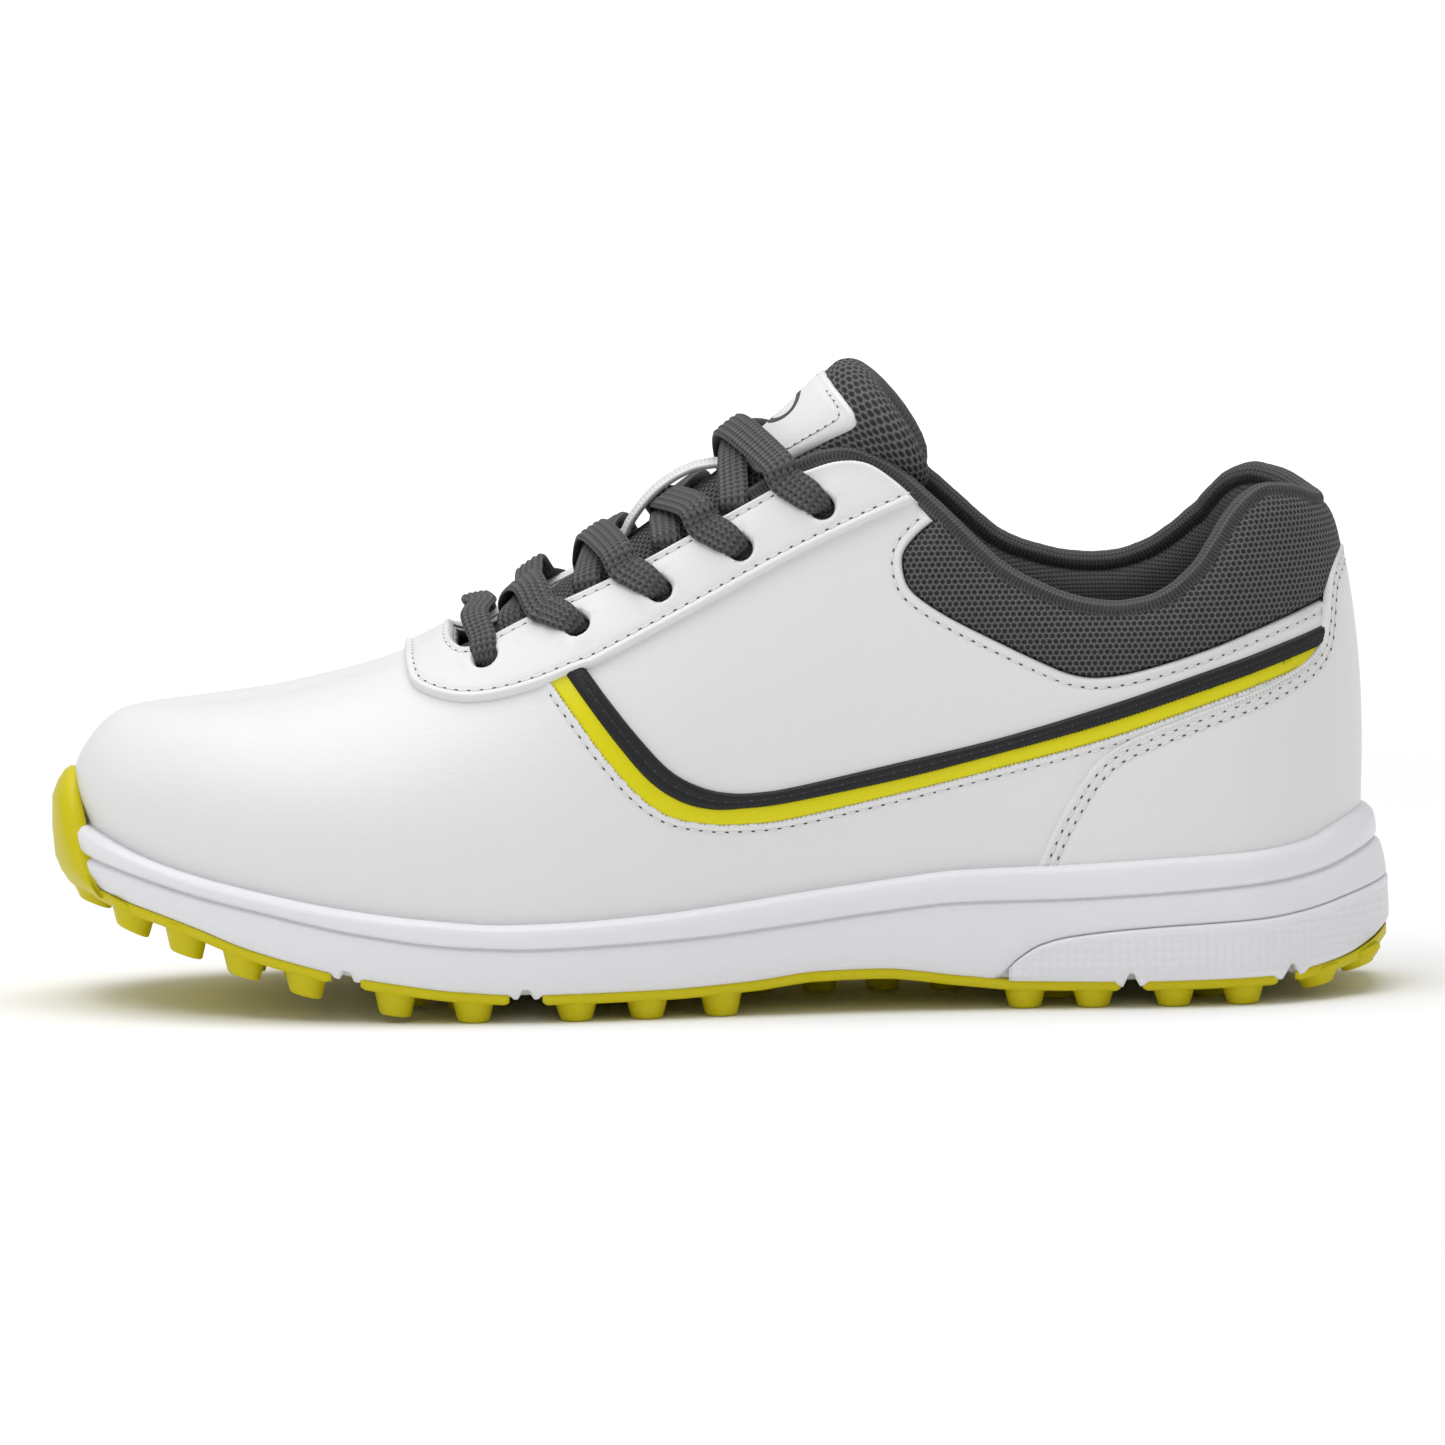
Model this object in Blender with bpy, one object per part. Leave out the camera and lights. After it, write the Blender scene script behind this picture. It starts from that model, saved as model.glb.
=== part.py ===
"""Golf shoe, left foot: toe towards -X, heel towards +X, lateral side at -Y, +Z up.

The sole stands on z = 0. Lengths in this file are millimetres, turned into metres by MM.
"""
import math

import bmesh
import bpy
from mathutils import Matrix, Vector

MM = 0.001

# ---------------------------------------------------------------- driving dimensions
PLAN_CENTRE_X = -0.5        # middle of the sole plan
PLAN_HALF_LENGTH = 133.5    # half the sole plan's length
FEATHER_INSET = 2.6         # the upper stands this far inside the sole plan
TOE_RIDGE_X = -112.0        # where the centre line of the toe begins
HEEL_RIDGE_X = 112.0        # where the centre line of the heel ends
FIT_GAP = 0.3               # clearance between pieces that touch
PAD_GAP = 0.5               # clearance between the midsole and the outsole pads
STATIONS = 25               # divisions from toe to heel on the upper
RIB_STEPS = 7               # divisions from the sole to the centre line, on each side
SOLE_STATIONS = 30          # divisions from toe to heel on the sole
PAD_THICKNESS = 1.8         # rubber between the midsole and the lugs
LUG_TOP_RADIUS = 4.2
LUG_TIP_RADIUS = 3.1
LUG_SIDES = 8
HEEL_FLARE = 4.0            # how far the lower heel stands out past the plan
WRAP_THICKNESS = 1.5        # textured skin round the heel
EYELET_RADIUS = 2.6
LACE_RADIUS = 1.15
BUMPER_ANGLE = 0.34         # how far round the toe the bumper reaches, in plan angle
BINDING_RADIUS = 2.0
BINDING_DEPTH = 2.6         # how far the rolled edge's middle lies inside the last surface
SIDE_REACH = 90.0           # cutters reach this far to each side
TONGUE_HINGE = (-60.0, -2.0, 66.0)      # the tongue's lower edge, where it is stitched to the vamp
SOCKLINER_HINGE = (-124.0, 0.0, 45.0)   # the sockliner's front edge, about which its heel end lifts

# Layers of the upper: inner and outer distance from the last surface.
OVERLAY = (0.3, 1.4)
STRIPE = (0.3, 1.0)
MAIN = (-1.2, 0.0)
STIFFENER = (-2.6, -1.5)
LINING_MID = (-2.1, -1.5)
LINING_END = (-3.5, -2.9)
FOAM = (-5.6, -1.3)
COLLAR_LINING = (-6.5, -5.9)

# ---------------------------------------------------------------- curves of the design
# Half width of the sole plan, by x, on each side of its centre line.
LATERAL_WIDTH = [(-134, 0), (-131.5, 14), (-123, 27.5), (-106, 38.5), (-85, 44.8), (-60, 48.1), (-38, 48.6),
                 (-15, 46), (10, 41.5), (35, 38.5), (60, 37.5), (85, 38), (105, 35.5), (121, 26), (129.5, 14.5),
                 (133, 0)]
MEDIAL_WIDTH = [(-134, 0), (-131.5, 13), (-123, 25.5), (-106, 37), (-85, 45), (-60, 48.4), (-38, 47.5),
                (-15, 43), (10, 37.5), (35, 34), (60, 34.5), (85, 36), (105, 34.5), (121, 25.5), (129.5, 14),
                (133, 0)]
CENTRE_SHIFT = [(-134, 6), (-110, 4), (-80, 1), (-50, 0), (133, 0)]
RIDGE_SHIFT = [(-112, 4), (-80, 1), (-50, -2), (50, -2), (90, 0)]   # y of the upper's centre line
TONGUE_Y = -2.0
TONGUE_GAP = 0.6            # clearance between the tongue's layers

# Heights by x: where the upper meets the sole, the groove under the rim, the groove above the
# heel wrap, the underside of the midsole and the tips of the lugs.
FEATHER = [(-134, 38.6), (-127, 35.8), (-119, 32.8), (-107, 29.5), (-94.6, 26.9), (-78, 23.9), (-60, 21.7),
           (-45, 20.6), (-33, 20.8), (-12.5, 22), (4, 23.8), (16, 25.4), (33, 27.5), (49, 29.3), (68, 29.9),
           (90, 31), (111, 31.9), (121, 33.2), (128, 36), (138, 39)]
RIM_GROOVE = [(-134, 32.2), (-123, 29.4), (-107, 25.2), (-94.6, 22.6), (-74, 18.4), (-54, 15.8), (-40, 15.2),
              (-25, 15.6), (-4, 16.7), (16, 18.8), (33, 20.8), (49, 22.3), (68, 22.6), (90, 23.6), (115, 25.3),
              (123, 26.7), (129, 28.8), (138, 32.3)]
WRAP_GROOVE = [(57, 7.3), (61.3, 11.2), (65.4, 13.6), (71.6, 15.2), (88, 16.9), (111, 18.1), (119, 19.2),
               (127, 21.3), (138, 24)]
MIDSOLE_BOTTOM = [(-138, 27), (-130, 25.8), (-127.5, 24.8), (-123, 23.3), (-115, 21), (-107, 18.4), (-99, 15.4),
                  (-86.6, 12), (-78, 10), (-66, 8.1), (-54, 6.6), (-40, 5.8), (-13, 6.1), (6, 7.2), (20, 8.8),
                  (32, 9), (49, 7.2), (62, 6), (85, 5.7), (112, 6), (119, 7), (125, 8.4), (129.5, 10.4), (133, 13.2)]
LUG_TIPS = [(-138, 23), (-129.6, 21.2), (-120.6, 16.6), (-109.6, 12.6), (-98, 8.8), (-85, 5.2), (-72, 2.2),
            (-60, 0.6), (-51, 0), (106, 0), (114, 1), (122, 2.6), (131, 5.4), (138, 8)]
# Centre line of the last surface over the toe, the instep, the ankle and the heel.
RIDGE = [(-112, 62.4), (-99, 63.5), (-86, 65.2), (-77.6, 67.2), (-69, 69.7), (-61, 72.7), (-54, 76.2),
         (-47, 81), (-36, 89.3), (-20, 101.8), (-3, 114.3), (12, 123), (25, 128), (40, 129), (60, 125),
         (85, 119), (112, 114)]
# Power that shapes each cross-section: small is boxy, one is round.
SECTION_POWER = [(-134, 0.5), (-110, 0.55), (-85, 0.75), (-60, 1.0), (-47, 1.1), (-20, 1.05), (5, 0.92),
                 (25, 0.78), (45, 0.68), (80, 0.62), (134, 0.6)]
SECTION_BULGE = [(-134, 9.0), (-110, 5.0), (-60, 5.0), (0, 3.0), (80, 2.0), (134, 4.0)]

# Outlines of the upper's panels, as x and z seen from the side.
THROAT = [(-54.5, 76.5), (-51, 73.9), (-47.7, 75.2), (-36.3, 81.2), (-19.7, 89.3), (-5.2, 97.2), (11.3, 106.1),
          (17.5, 109.8), (24, 111.8)]
EYESTAY_OUTER = [(41, 103.3), (38, 103.2), (17.3, 93.8), (-3.4, 83.1), (-24.1, 72.5), (-28.2, 71.0),
                 (-36.5, 67.7), (-44.7, 65.4), (-50.9, 64.6), (-56, 64.9), (-60.1, 65.9), (-62.6, 67.2),
                 (-63.8, 69.9), (-64.1, 73)]
TOPLINE = [(24, 115.0), (31, 114.6), (38, 111), (46.2, 103.9), (58.3, 92.2), (66.5, 87.4), (74.7, 84.4),
           (82.9, 83.6), (91, 85.4), (97.3, 90), (101.5, 95.4), (105.7, 101.2), (110, 104.9), (114, 106.2),
           (120, 105.3), (124, 103.3)]
MESH_LOWER = [(43, 98.6), (40, 96.2), (38, 92.5), (38.6, 87.8), (41.8, 84.5), (47.9, 80.5),
              (58.1, 75.2), (66.3, 71.2), (72.4, 68.7), (78.5, 68), (86.8, 69.3), (99.1, 72.7), (111.5, 76.9),
              (124, 81)]
STRIPE_TOP = [(-26.6, 71.0), (-22.1, 65), (-16.1, 57.5), (-10, 51), (-3.9, 47.5), (2.2, 46), (8.4, 46),
              (16.6, 47.1), (37.2, 51.4), (57.8, 56), (78.4, 61.9), (99.1, 68.5), (115.6, 73.5), (121, 75.4)]
STRIPE_MIDDLE = [(-30.6, 69.4), (-26.3, 63.5), (-20.2, 55.4), (-14.2, 48.6), (-8.1, 44.5), (-1.9, 42.7),
                 (4.2, 42.6), (14.5, 43.6), (37.2, 47.8), (57.8, 52.7), (78.4, 58.2), (99, 64.6), (118, 70.2)]
STRIPE_LOW = [(-33.4, 68.3), (-29.2, 62.4), (-23.1, 54), (-16.3, 46.3), (-10.2, 42), (-3, 40.3), (4.2, 39.9),
              (14.5, 40.7), (37.1, 45.4), (57.7, 50.2), (78.3, 55.5), (99, 62.1), (115.5, 67.4)]
HEEL_EDGE = [(63.5, 24), (67.8, 36), (72, 43.5), (76.2, 49.5), (80.4, 53.2), (86.6, 56.3), (99, 60.8),
             (111.3, 65), (119.6, 69), (122.9, 72.6), (123.9, 76.6), (124.3, 80.6), (125, 85.7), (126.2, 89.4),
             (127.5, 91.1)]
EYELETS = [(-47.3, 72.6), (-28.5, 79.8), (-11.6, 87), (5.0, 95.2), (21.0, 102.8)]

# The tongue: x and z of its centre line, its half width and how far its sides wrap back.
TONGUE = [(-60, 69.0, 18, 5.0), (-50, 73.0, 21, 7.5), (-32, 84.6, 22.5, 9.5), (-18, 94.0, 22, 11.5),
          (-3, 104.8, 20, 14), (5.7, 111.6, 17.8, 16), (15.6, 120.3, 16.6, 18.5), (22.5, 127, 16.2, 20),
          (26.5, 130.6, 16.0, 19)]
TONGUE_THICKNESS = [(-60, 3.6), (-32, 4.4), (-3, 5.6), (12, 8.0), (27, 8.6)]
TONGUE_CROSSINGS = [(-38, 2.5), (-24.5, 2.5), (-11.5, 2.5), (3.0, 3.1)]   # x and height of the lower strand

# Where each outsole pad begins and ends.
PADS = {
    "outsole_toe_pad": (-133.4, -80.0),
    "outsole_forefoot_pad": (-74.0, -43.6),
    "outsole_midfoot_pad": (-36.8, 81.6),
    "outsole_heel_pad": (86.1, 113.9),
    "outsole_edge_pad": (117.4, 136.6),
}
EDGE_LUGS = [-120.8, -109.8, -98, -85.3, -67, -51, -30, -15.5, -0.3, 62, 76.0, 92.5, 106.7, 122, 130.5]
CENTRE_LUGS = [-124, -104, -91, -69.5, -59, -48.5, -23, -8, 7, 20, 33, 46, 68, 92, 107.5, 124]
HALFWAY_LUGS = [-97, -86.5, -64, -53, -31, -15.5, 69, 100]


def smooth_curve(points):
    """A curve through the points that never overshoots them, as a function of x."""
    xs = [float(p[0]) for p in points]
    ys = [float(p[1]) for p in points]
    count = len(xs)
    steps = [(ys[i + 1] - ys[i]) / (xs[i + 1] - xs[i]) for i in range(count - 1)]
    slopes = [steps[0]] + [0.0] * (count - 2) + [steps[-1]]
    for i in range(1, count - 1):
        if steps[i - 1] * steps[i] > 0:
            slopes[i] = 2.0 / (1.0 / steps[i - 1] + 1.0 / steps[i])

    def value(x):
        if x <= xs[0]:
            return ys[0]
        if x >= xs[-1]:
            return ys[-1]
        i = max(k for k in range(count - 1) if xs[k] <= x)
        width = xs[i + 1] - xs[i]
        s = (x - xs[i]) / width
        return (ys[i] * (1 + 2 * s) * (1 - s) ** 2 + slopes[i] * width * s * (1 - s) ** 2
                + ys[i + 1] * s * s * (3 - 2 * s) + slopes[i + 1] * width * s * s * (s - 1))
    return value


def angle_at(x):
    """The angle, 0 at the toe and pi at the heel, of a place along the sole plan."""
    return math.acos(max(-1.0, min(1.0, (PLAN_CENTRE_X - x) / PLAN_HALF_LENGTH)))


lateral_width = smooth_curve([(angle_at(x), w) for x, w in LATERAL_WIDTH])
medial_width = smooth_curve([(angle_at(x), w) for x, w in MEDIAL_WIDTH])
centre_shift = smooth_curve(CENTRE_SHIFT)
feather = smooth_curve(FEATHER)
rim_groove = smooth_curve(RIM_GROOVE)
wrap_groove = smooth_curve(WRAP_GROOVE)
midsole_bottom = smooth_curve(MIDSOLE_BOTTOM)
lug_tips = smooth_curve(LUG_TIPS)
ridge = smooth_curve(RIDGE)
ridge_shift = smooth_curve(RIDGE_SHIFT)
section_power = smooth_curve(SECTION_POWER)
section_bulge = smooth_curve(SECTION_BULGE)
throat = smooth_curve(THROAT[1:])
topline = smooth_curve(TOPLINE)
tongue_height = smooth_curve([(p[0], p[1]) for p in TONGUE])
tongue_width = smooth_curve([(p[0], p[2]) for p in TONGUE])
tongue_wrap = smooth_curve([(p[0], p[3]) for p in TONGUE])
tongue_thickness = smooth_curve(TONGUE_THICKNESS)


# ---------------------------------------------------------------- plan of the sole
def plan_point(angle, side, offset=0.0):
    """A point of the sole plan, moved outwards by offset. The angle runs from toe to heel."""
    def raw(a):
        width = lateral_width(a) if side < 0 else medial_width(a)
        x = PLAN_CENTRE_X - PLAN_HALF_LENGTH * math.cos(a)
        return Vector((x, centre_shift(x) + side * width))
    small = 0.01
    if angle < small:
        outward = Vector((-1.0, 0.0))
    elif angle > math.pi - small:
        outward = Vector((1.0, 0.0))
    else:
        along = raw(min(math.pi, angle + small)) - raw(max(0.0, angle - small))
        outward = Vector((-along.y, along.x)) * side
        outward.normalize()
    return raw(angle) + outward * offset


def plan_ring(offset_at, stations=SOLE_STATIONS):
    """Closed ring of plan points: lateral side from toe to heel, then medial side back."""
    ring = []
    for k in range(2 * stations):
        side = -1 if k <= stations else 1
        step = k if k <= stations else 2 * stations - k
        angle = math.pi * step / stations
        base_x = PLAN_CENTRE_X - PLAN_HALF_LENGTH * math.cos(angle)
        offset = offset_at(base_x) if callable(offset_at) else offset_at
        ring.append((plan_point(angle, side, offset), base_x))
    return ring


def heel_share(x):
    """0 in front of the heel, rising to 1 at its back."""
    return max(0.0, min(1.0, (x - 60.0) / 73.0)) ** 2


# ---------------------------------------------------------------- last surface
def last_point(u, t):
    """A point of the upper: u runs from toe (0) to heel (1), t from -1 (lateral edge of the
    sole) over 0 (centre line) to 1 (medial edge)."""
    side = -1 if t < 0 else 1
    base = plan_point(math.pi * u, side, -FEATHER_INSET)
    toe_x = plan_point(0.0, 1, -FEATHER_INSET).x
    heel_x = plan_point(math.pi, 1, -FEATHER_INSET).x
    share = (base.x - toe_x) / (heel_x - toe_x)
    top_x = TOE_RIDGE_X + (HEEL_RIDGE_X - TOE_RIDGE_X) * share
    top_y = ridge_shift(top_x)
    phi = 0.5 * math.pi * (1.0 - abs(t) ** 1.25)
    cosine = max(0.0, math.cos(phi))
    reach = cosine ** section_power(base.x)
    bulge = section_bulge(base.x) * math.sin(phi) * cosine ** 6
    outward = Vector((base.x - top_x, base.y - top_y))
    outward.normalize()
    low = feather(PLAN_CENTRE_X - PLAN_HALF_LENGTH * math.cos(math.pi * u))
    high = ridge(top_x)
    return Vector((top_x + (base.x - top_x) * reach + outward.x * bulge,
                   top_y + (base.y - top_y) * reach + outward.y * bulge,
                   low + (high - low) * math.sin(phi)))


def last_grid():
    """The last surface as triangles, with a normal at each vertex."""
    points, index, faces = [], {}, []

    def vertex(i, j):
        p = last_point(i / STATIONS, j / RIB_STEPS)
        key = (round(p.x, 3), round(p.y, 3), round(p.z, 3))
        if key not in index:
            index[key] = len(points)
            points.append(p)
        return index[key]
    for i in range(STATIONS):
        for j in range(-RIB_STEPS, RIB_STEPS):
            a, b, c, d = vertex(i, j), vertex(i + 1, j), vertex(i + 1, j + 1), vertex(i, j + 1)
            for face in ((a, b, c), (a, c, d)):
                if len(set(face)) == 3:
                    faces.append(face)
    normals = [Vector((0, 0, 0)) for _ in points]
    for a, b, c in faces:
        weight = (points[b] - points[a]).cross(points[c] - points[a])
        for v in (a, b, c):
            normals[v] += weight
    for n in normals:
        n.normalize()
    if normals[index_of_highest(points)].z < 0:
        normals = [-n for n in normals]
        faces = [(a, c, b) for a, b, c in faces]
    return points, normals, faces


def index_of_highest(points):
    return max(range(len(points)), key=lambda k: points[k].z)


def surface_at(x, z, side):
    """The last surface's point and normal at a place seen from the side."""
    def rib_at_height(u):
        low_t, high_t = 0.0, 1.0
        for _ in range(40):
            t = 0.5 * (low_t + high_t)
            if last_point(u, side * t).z > z:
                low_t = t
            else:
                high_t = t
        return 0.5 * (low_t + high_t)
    low_u, high_u = 0.0, 1.0
    for _ in range(40):
        u = 0.5 * (low_u + high_u)
        if last_point(u, side * rib_at_height(u)).x < x:
            low_u = u
        else:
            high_u = u
    u, t = 0.5 * (low_u + high_u), rib_at_height(0.5 * (low_u + high_u))
    step = 0.004
    along = last_point(min(1, u + step), side * t) - last_point(max(0, u - step), side * t)
    up = last_point(u, side * max(0.001, t - step)) - last_point(u, side * min(1, t + step))
    normal = along.cross(up)
    normal.normalize()
    if normal.y * side < 0:
        normal = -normal
    return last_point(u, side * t), normal


# ---------------------------------------------------------------- object helpers
def collection(name):
    found = bpy.data.collections.new(name)
    bpy.context.scene.collection.children.link(found)
    return found


for old in list(bpy.data.objects):
    bpy.data.objects.remove(old)
SHOE = collection("golf_shoe")
CUTTERS = collection("cutters")


def material(name, colour, roughness, metallic=0.0):
    made = bpy.data.materials.new(name)
    made.use_nodes = True
    shader = made.node_tree.nodes["Principled BSDF"]
    shader.inputs["Base Color"].default_value = (*colour, 1.0)
    shader.inputs["Roughness"].default_value = roughness
    shader.inputs["Metallic"].default_value = metallic
    return made


def add_object(name, mesh_data, home, finish=None):
    made = bpy.data.objects.new(name, mesh_data)
    home.objects.link(made)
    if home is CUTTERS:
        made.hide_render = True
        made.display_type = "WIRE"
    if finish:
        mesh_data.materials.append(material(name, *finish))
    return made


def mesh_object(name, points, faces, home=None, finish=None, smooth=False):
    """A closed mesh from millimetre points, turned to face outwards."""
    data = bpy.data.meshes.new(name)
    shape = bmesh.new()
    verts = [shape.verts.new(Vector(p) * MM) for p in points]
    for face in faces:
        shape.faces.new([verts[k] for k in face])
    bmesh.ops.recalc_face_normals(shape, faces=shape.faces)
    if shape.calc_volume(signed=True) < 0:
        bmesh.ops.reverse_faces(shape, faces=shape.faces)
    shape.to_mesh(data)
    shape.free()
    if smooth:
        data.shade_smooth()
        data.set_sharp_from_angle(angle=math.radians(40))
    return add_object(name, data, home or SHOE, finish)


def cut(target, tool, how):
    step = target.modifiers.new(how.lower(), "BOOLEAN")
    step.operation = how
    step.solver = "EXACT"
    step.object = tool


LAST_POINTS, LAST_NORMALS, LAST_FACES = last_grid()


def shell(name, layer, home, finish=None, end_layer=None):
    """The whole last surface, thickened between the two distances of a layer. With an end
    layer, the shell moves to it towards the toe and the heel."""
    count = len(LAST_POINTS)
    points = []
    for which in (1, 0):
        for p, n in zip(LAST_POINTS, LAST_NORMALS):
            distance = layer[which]
            if end_layer:
                share = max(0.0, min(1.0, max(-70.0 - p.x, p.x - 44.0) / 15.0))
                distance += (end_layer[which] - layer[which]) * share
            points.append(p + n * distance)
    faces = list(LAST_FACES) + [(c + count, b + count, a + count) for a, b, c in LAST_FACES]
    edges = [edge for a, b, c in LAST_FACES for edge in ((a, b), (b, c), (c, a))]
    used = set(edges)
    for a, b in edges:
        if (b, a) not in used:
            faces.append((b, a, a + count, b + count))
    return mesh_object(name, points, faces, home, finish, smooth=home is not CUTTERS)


def prism(name, outline, y_low=-SIDE_REACH, y_high=SIDE_REACH):
    """A cutter: an outline seen from the side, reaching from y_low to y_high."""
    count = len(outline)
    points = [(x, y_low, z) for x, z in outline] + [(x, y_high, z) for x, z in outline]
    faces = [tuple(range(count)), tuple(range(2 * count - 1, count - 1, -1))]
    faces += [(k, (k + 1) % count, (k + 1) % count + count, k + count) for k in range(count)]
    return mesh_object(name, points, faces, CUTTERS)


def panel(name, layer, outline, finish, side=0, end_layer=None):
    """A panel of the upper: one layer of the last surface inside an outline."""
    made = shell(name, layer, SHOE, finish, end_layer)
    y_low = -SIDE_REACH if side <= 0 else 0.5
    y_high = SIDE_REACH if side >= 0 else -0.5
    cut(made, prism(name + "_outline", outline, y_low, y_high), "INTERSECT")
    return made


def loft(name, sections, finish, closed=False, home=None, smooth=True):
    """Joins cross-sections of equally many points. Open lofts get flat ends."""
    count, size = len(sections), len(sections[0])
    points = [p for section in sections for p in section]
    faces = []
    for i in range(count if closed else count - 1):
        after = (i + 1) % count
        for k in range(size):
            nxt = (k + 1) % size
            faces.append((i * size + k, i * size + nxt, after * size + nxt))
            faces.append((i * size + k, after * size + nxt, after * size + k))
    if not closed:
        faces.append(tuple(range(size)))
        faces.append(tuple((count - 1) * size + k for k in range(size)))
    return mesh_object(name, points, faces, home, finish, smooth)


def stack(name, rings, finish):
    """A solid from rings, bottom to top, closed by strips between its two sides."""
    size = len(rings[0])
    half = size // 2
    points = [p for ring in rings for p in ring]
    faces = []
    for level in range(len(rings) - 1):
        for k in range(size):
            nxt = (k + 1) % size
            faces.append((level * size + k, level * size + nxt, (level + 1) * size + nxt,
                          (level + 1) * size + k))
    for start in (0, (len(rings) - 1) * size):
        for k in range(half):
            right, right_next = (size - k) % size, size - k - 1
            face = [start + k, start + k + 1, start + right_next, start + right]
            faces.append(tuple(dict.fromkeys(face)))
    return mesh_object(name, points, faces, None, finish, smooth=True)


# ---------------------------------------------------------------- sole unit
WHITE_FOAM = ((0.80, 0.80, 0.84), 0.5)
WHITE_LEATHER = ((0.84, 0.84, 0.84), 0.42)
LIME_RUBBER = ((0.62, 0.63, 0.02), 0.4)
CHARCOAL = ((0.06, 0.06, 0.07), 0.8)
BLACK = ((0.02, 0.02, 0.025), 0.5)
GREY_BOARD = ((0.45, 0.43, 0.40), 0.8)


def wrap_depth(x):
    """How far the midsole stands back to take the heel wrap."""
    return (WRAP_THICKNESS + FIT_GAP) if x > 57.0 else 0.0


def flare(x):
    return HEEL_FLARE * heel_share(x)


def level_ring(offset_at, height_at):
    return [Vector((p.x, p.y, height_at(x))) for p, x in plan_ring(offset_at)]


def groove_height(x):
    """Height of the groove above the heel wrap; just over the underside elsewhere."""
    return wrap_groove(x) if x > 57.0 else midsole_bottom(x) + 1.6


def build_midsole():
    rings = [
        level_ring(lambda x: -3.4 - wrap_depth(x) + flare(x), midsole_bottom),
        level_ring(lambda x: -0.5 - wrap_depth(x) + flare(x), lambda x: midsole_bottom(x) + 0.8),
        level_ring(lambda x: 0.0 - wrap_depth(x) + flare(x), lambda x: groove_height(x) - 0.3),
        level_ring(lambda x: 0.3 + 0.9 * flare(x), lambda x: groove_height(x) + 0.5),
        level_ring(lambda x: 0.3 + 0.6 * flare(x), lambda x: rim_groove(x) - 1.0),
        level_ring(lambda x: -1.2 + 0.4 * flare(x), rim_groove),
        level_ring(lambda x: 0.4 + 0.3 * flare(x), lambda x: rim_groove(x) + 1.1),
        level_ring(lambda x: 0.9 + 0.2 * flare(x), lambda x: 0.5 * (rim_groove(x) + feather(x))),
        level_ring(0.2, lambda x: feather(x) - 0.9),
        level_ring(-1.4, lambda x: feather(x) - 0.4),
        level_ring(-5.0, lambda x: feather(x) - 0.6),
    ]
    return stack("midsole", rings, WHITE_FOAM)


def build_heel_wrap():
    """Band round the heel, from the waist on one side to the waist on the other."""
    sections = []
    for outer, x in plan_ring(lambda x: 0.3 + flare(x), 46):
        if x < 61.0:
            continue
        sections.append((outer, x))
    lateral = [s for s in sections if s[0].y <= 0.2]
    medial = [s for s in sections if s[0].y > 0.2]
    lateral.sort(key=lambda s: s[1])
    medial.sort(key=lambda s: -s[1])
    bands = []
    for outer, x in lateral + medial:
        inward = Vector((60.0, 0.0)) - outer
        inward.normalize()
        inner = outer + inward * WRAP_THICKNESS
        low, high = midsole_bottom(x) + 0.9, wrap_groove(x) - 0.7
        bands.append([Vector((outer.x, outer.y, low + 0.4)), Vector((outer.x, outer.y, high - 0.3)),
                      Vector((inner.x, inner.y, high)), Vector((inner.x, inner.y, low))])
    return loft("heel_wrap", bands, WHITE_FOAM)


def unflared(x):
    """The place on the sole plan that the heel's flare moves out to x."""
    return x - HEEL_FLARE * heel_share(x - 0.5 * HEEL_FLARE * heel_share(x))


def pad_half_width(side, x):
    """Half width of the rubber at x, with the heel's flare."""
    near = unflared(x)
    angle = angle_at(near)
    width = lateral_width(angle) if side < 0 else medial_width(angle)
    return max(1.2, width - 0.6 + 0.5 * flare(near))


def lug_places(start, end):
    places = []
    for x in EDGE_LUGS:
        for side in (-1, 1):
            places.append((x, centre_shift(x) + side * (pad_half_width(side, x) - 5.2)))
    places += [(x, centre_shift(x)) for x in CENTRE_LUGS]
    for x in HALFWAY_LUGS:
        for side in (-1, 1):
            places.append((x, centre_shift(x) + 0.46 * side * pad_half_width(side, x)))
    return [(x, y) for x, y in places if start + 3.0 < x < end - 2.0]


def build_lugs(name, places):
    """All lugs of one pad, tapered towards their tips."""
    data = bpy.data.meshes.new(name)
    shape = bmesh.new()
    for x, y in places:
        tip = lug_tips(x)
        top = midsole_bottom(unflared(x)) - PAD_GAP - 0.5 * PAD_THICKNESS
        added = bmesh.ops.create_cone(shape, cap_ends=True, segments=LUG_SIDES,
                                      radius1=LUG_TIP_RADIUS * MM, radius2=LUG_TOP_RADIUS * MM,
                                      depth=(top - tip) * MM)
        bmesh.ops.translate(shape, vec=Vector((x, y, 0.5 * (top + tip))) * MM, verts=added["verts"])
    shape.to_mesh(data)
    shape.free()
    return add_object(name, data, CUTTERS)


def build_pad(name, start, end):
    sections = []
    steps = max(5, round((end - start) / 9.0))
    for k in range(steps + 1):
        share = k / steps
        if name == "outsole_toe_pad":
            share = 1.0 - math.cos(0.5 * math.pi * share)
        if name == "outsole_edge_pad":
            share = math.sin(0.5 * math.pi * share)
        x = start + (end - start) * share
        top = midsole_bottom(unflared(x)) - PAD_GAP
        low = top - PAD_THICKNESS
        middle = centre_shift(x)
        left, right = middle - pad_half_width(-1, x), middle + pad_half_width(1, x)
        sections.append([Vector((x, left, top)), Vector((x, right, top)),
                         Vector((x, right - 0.5, low)), Vector((x, left + 0.5, low))])
    pad = loft(name, sections, LIME_RUBBER, smooth=False)
    cut(pad, build_lugs(name + "_lugs", lug_places(start, end)), "UNION")
    if name == "outsole_toe_pad":
        cut(pad, build_bumper(), "UNION")
    return pad


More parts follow.
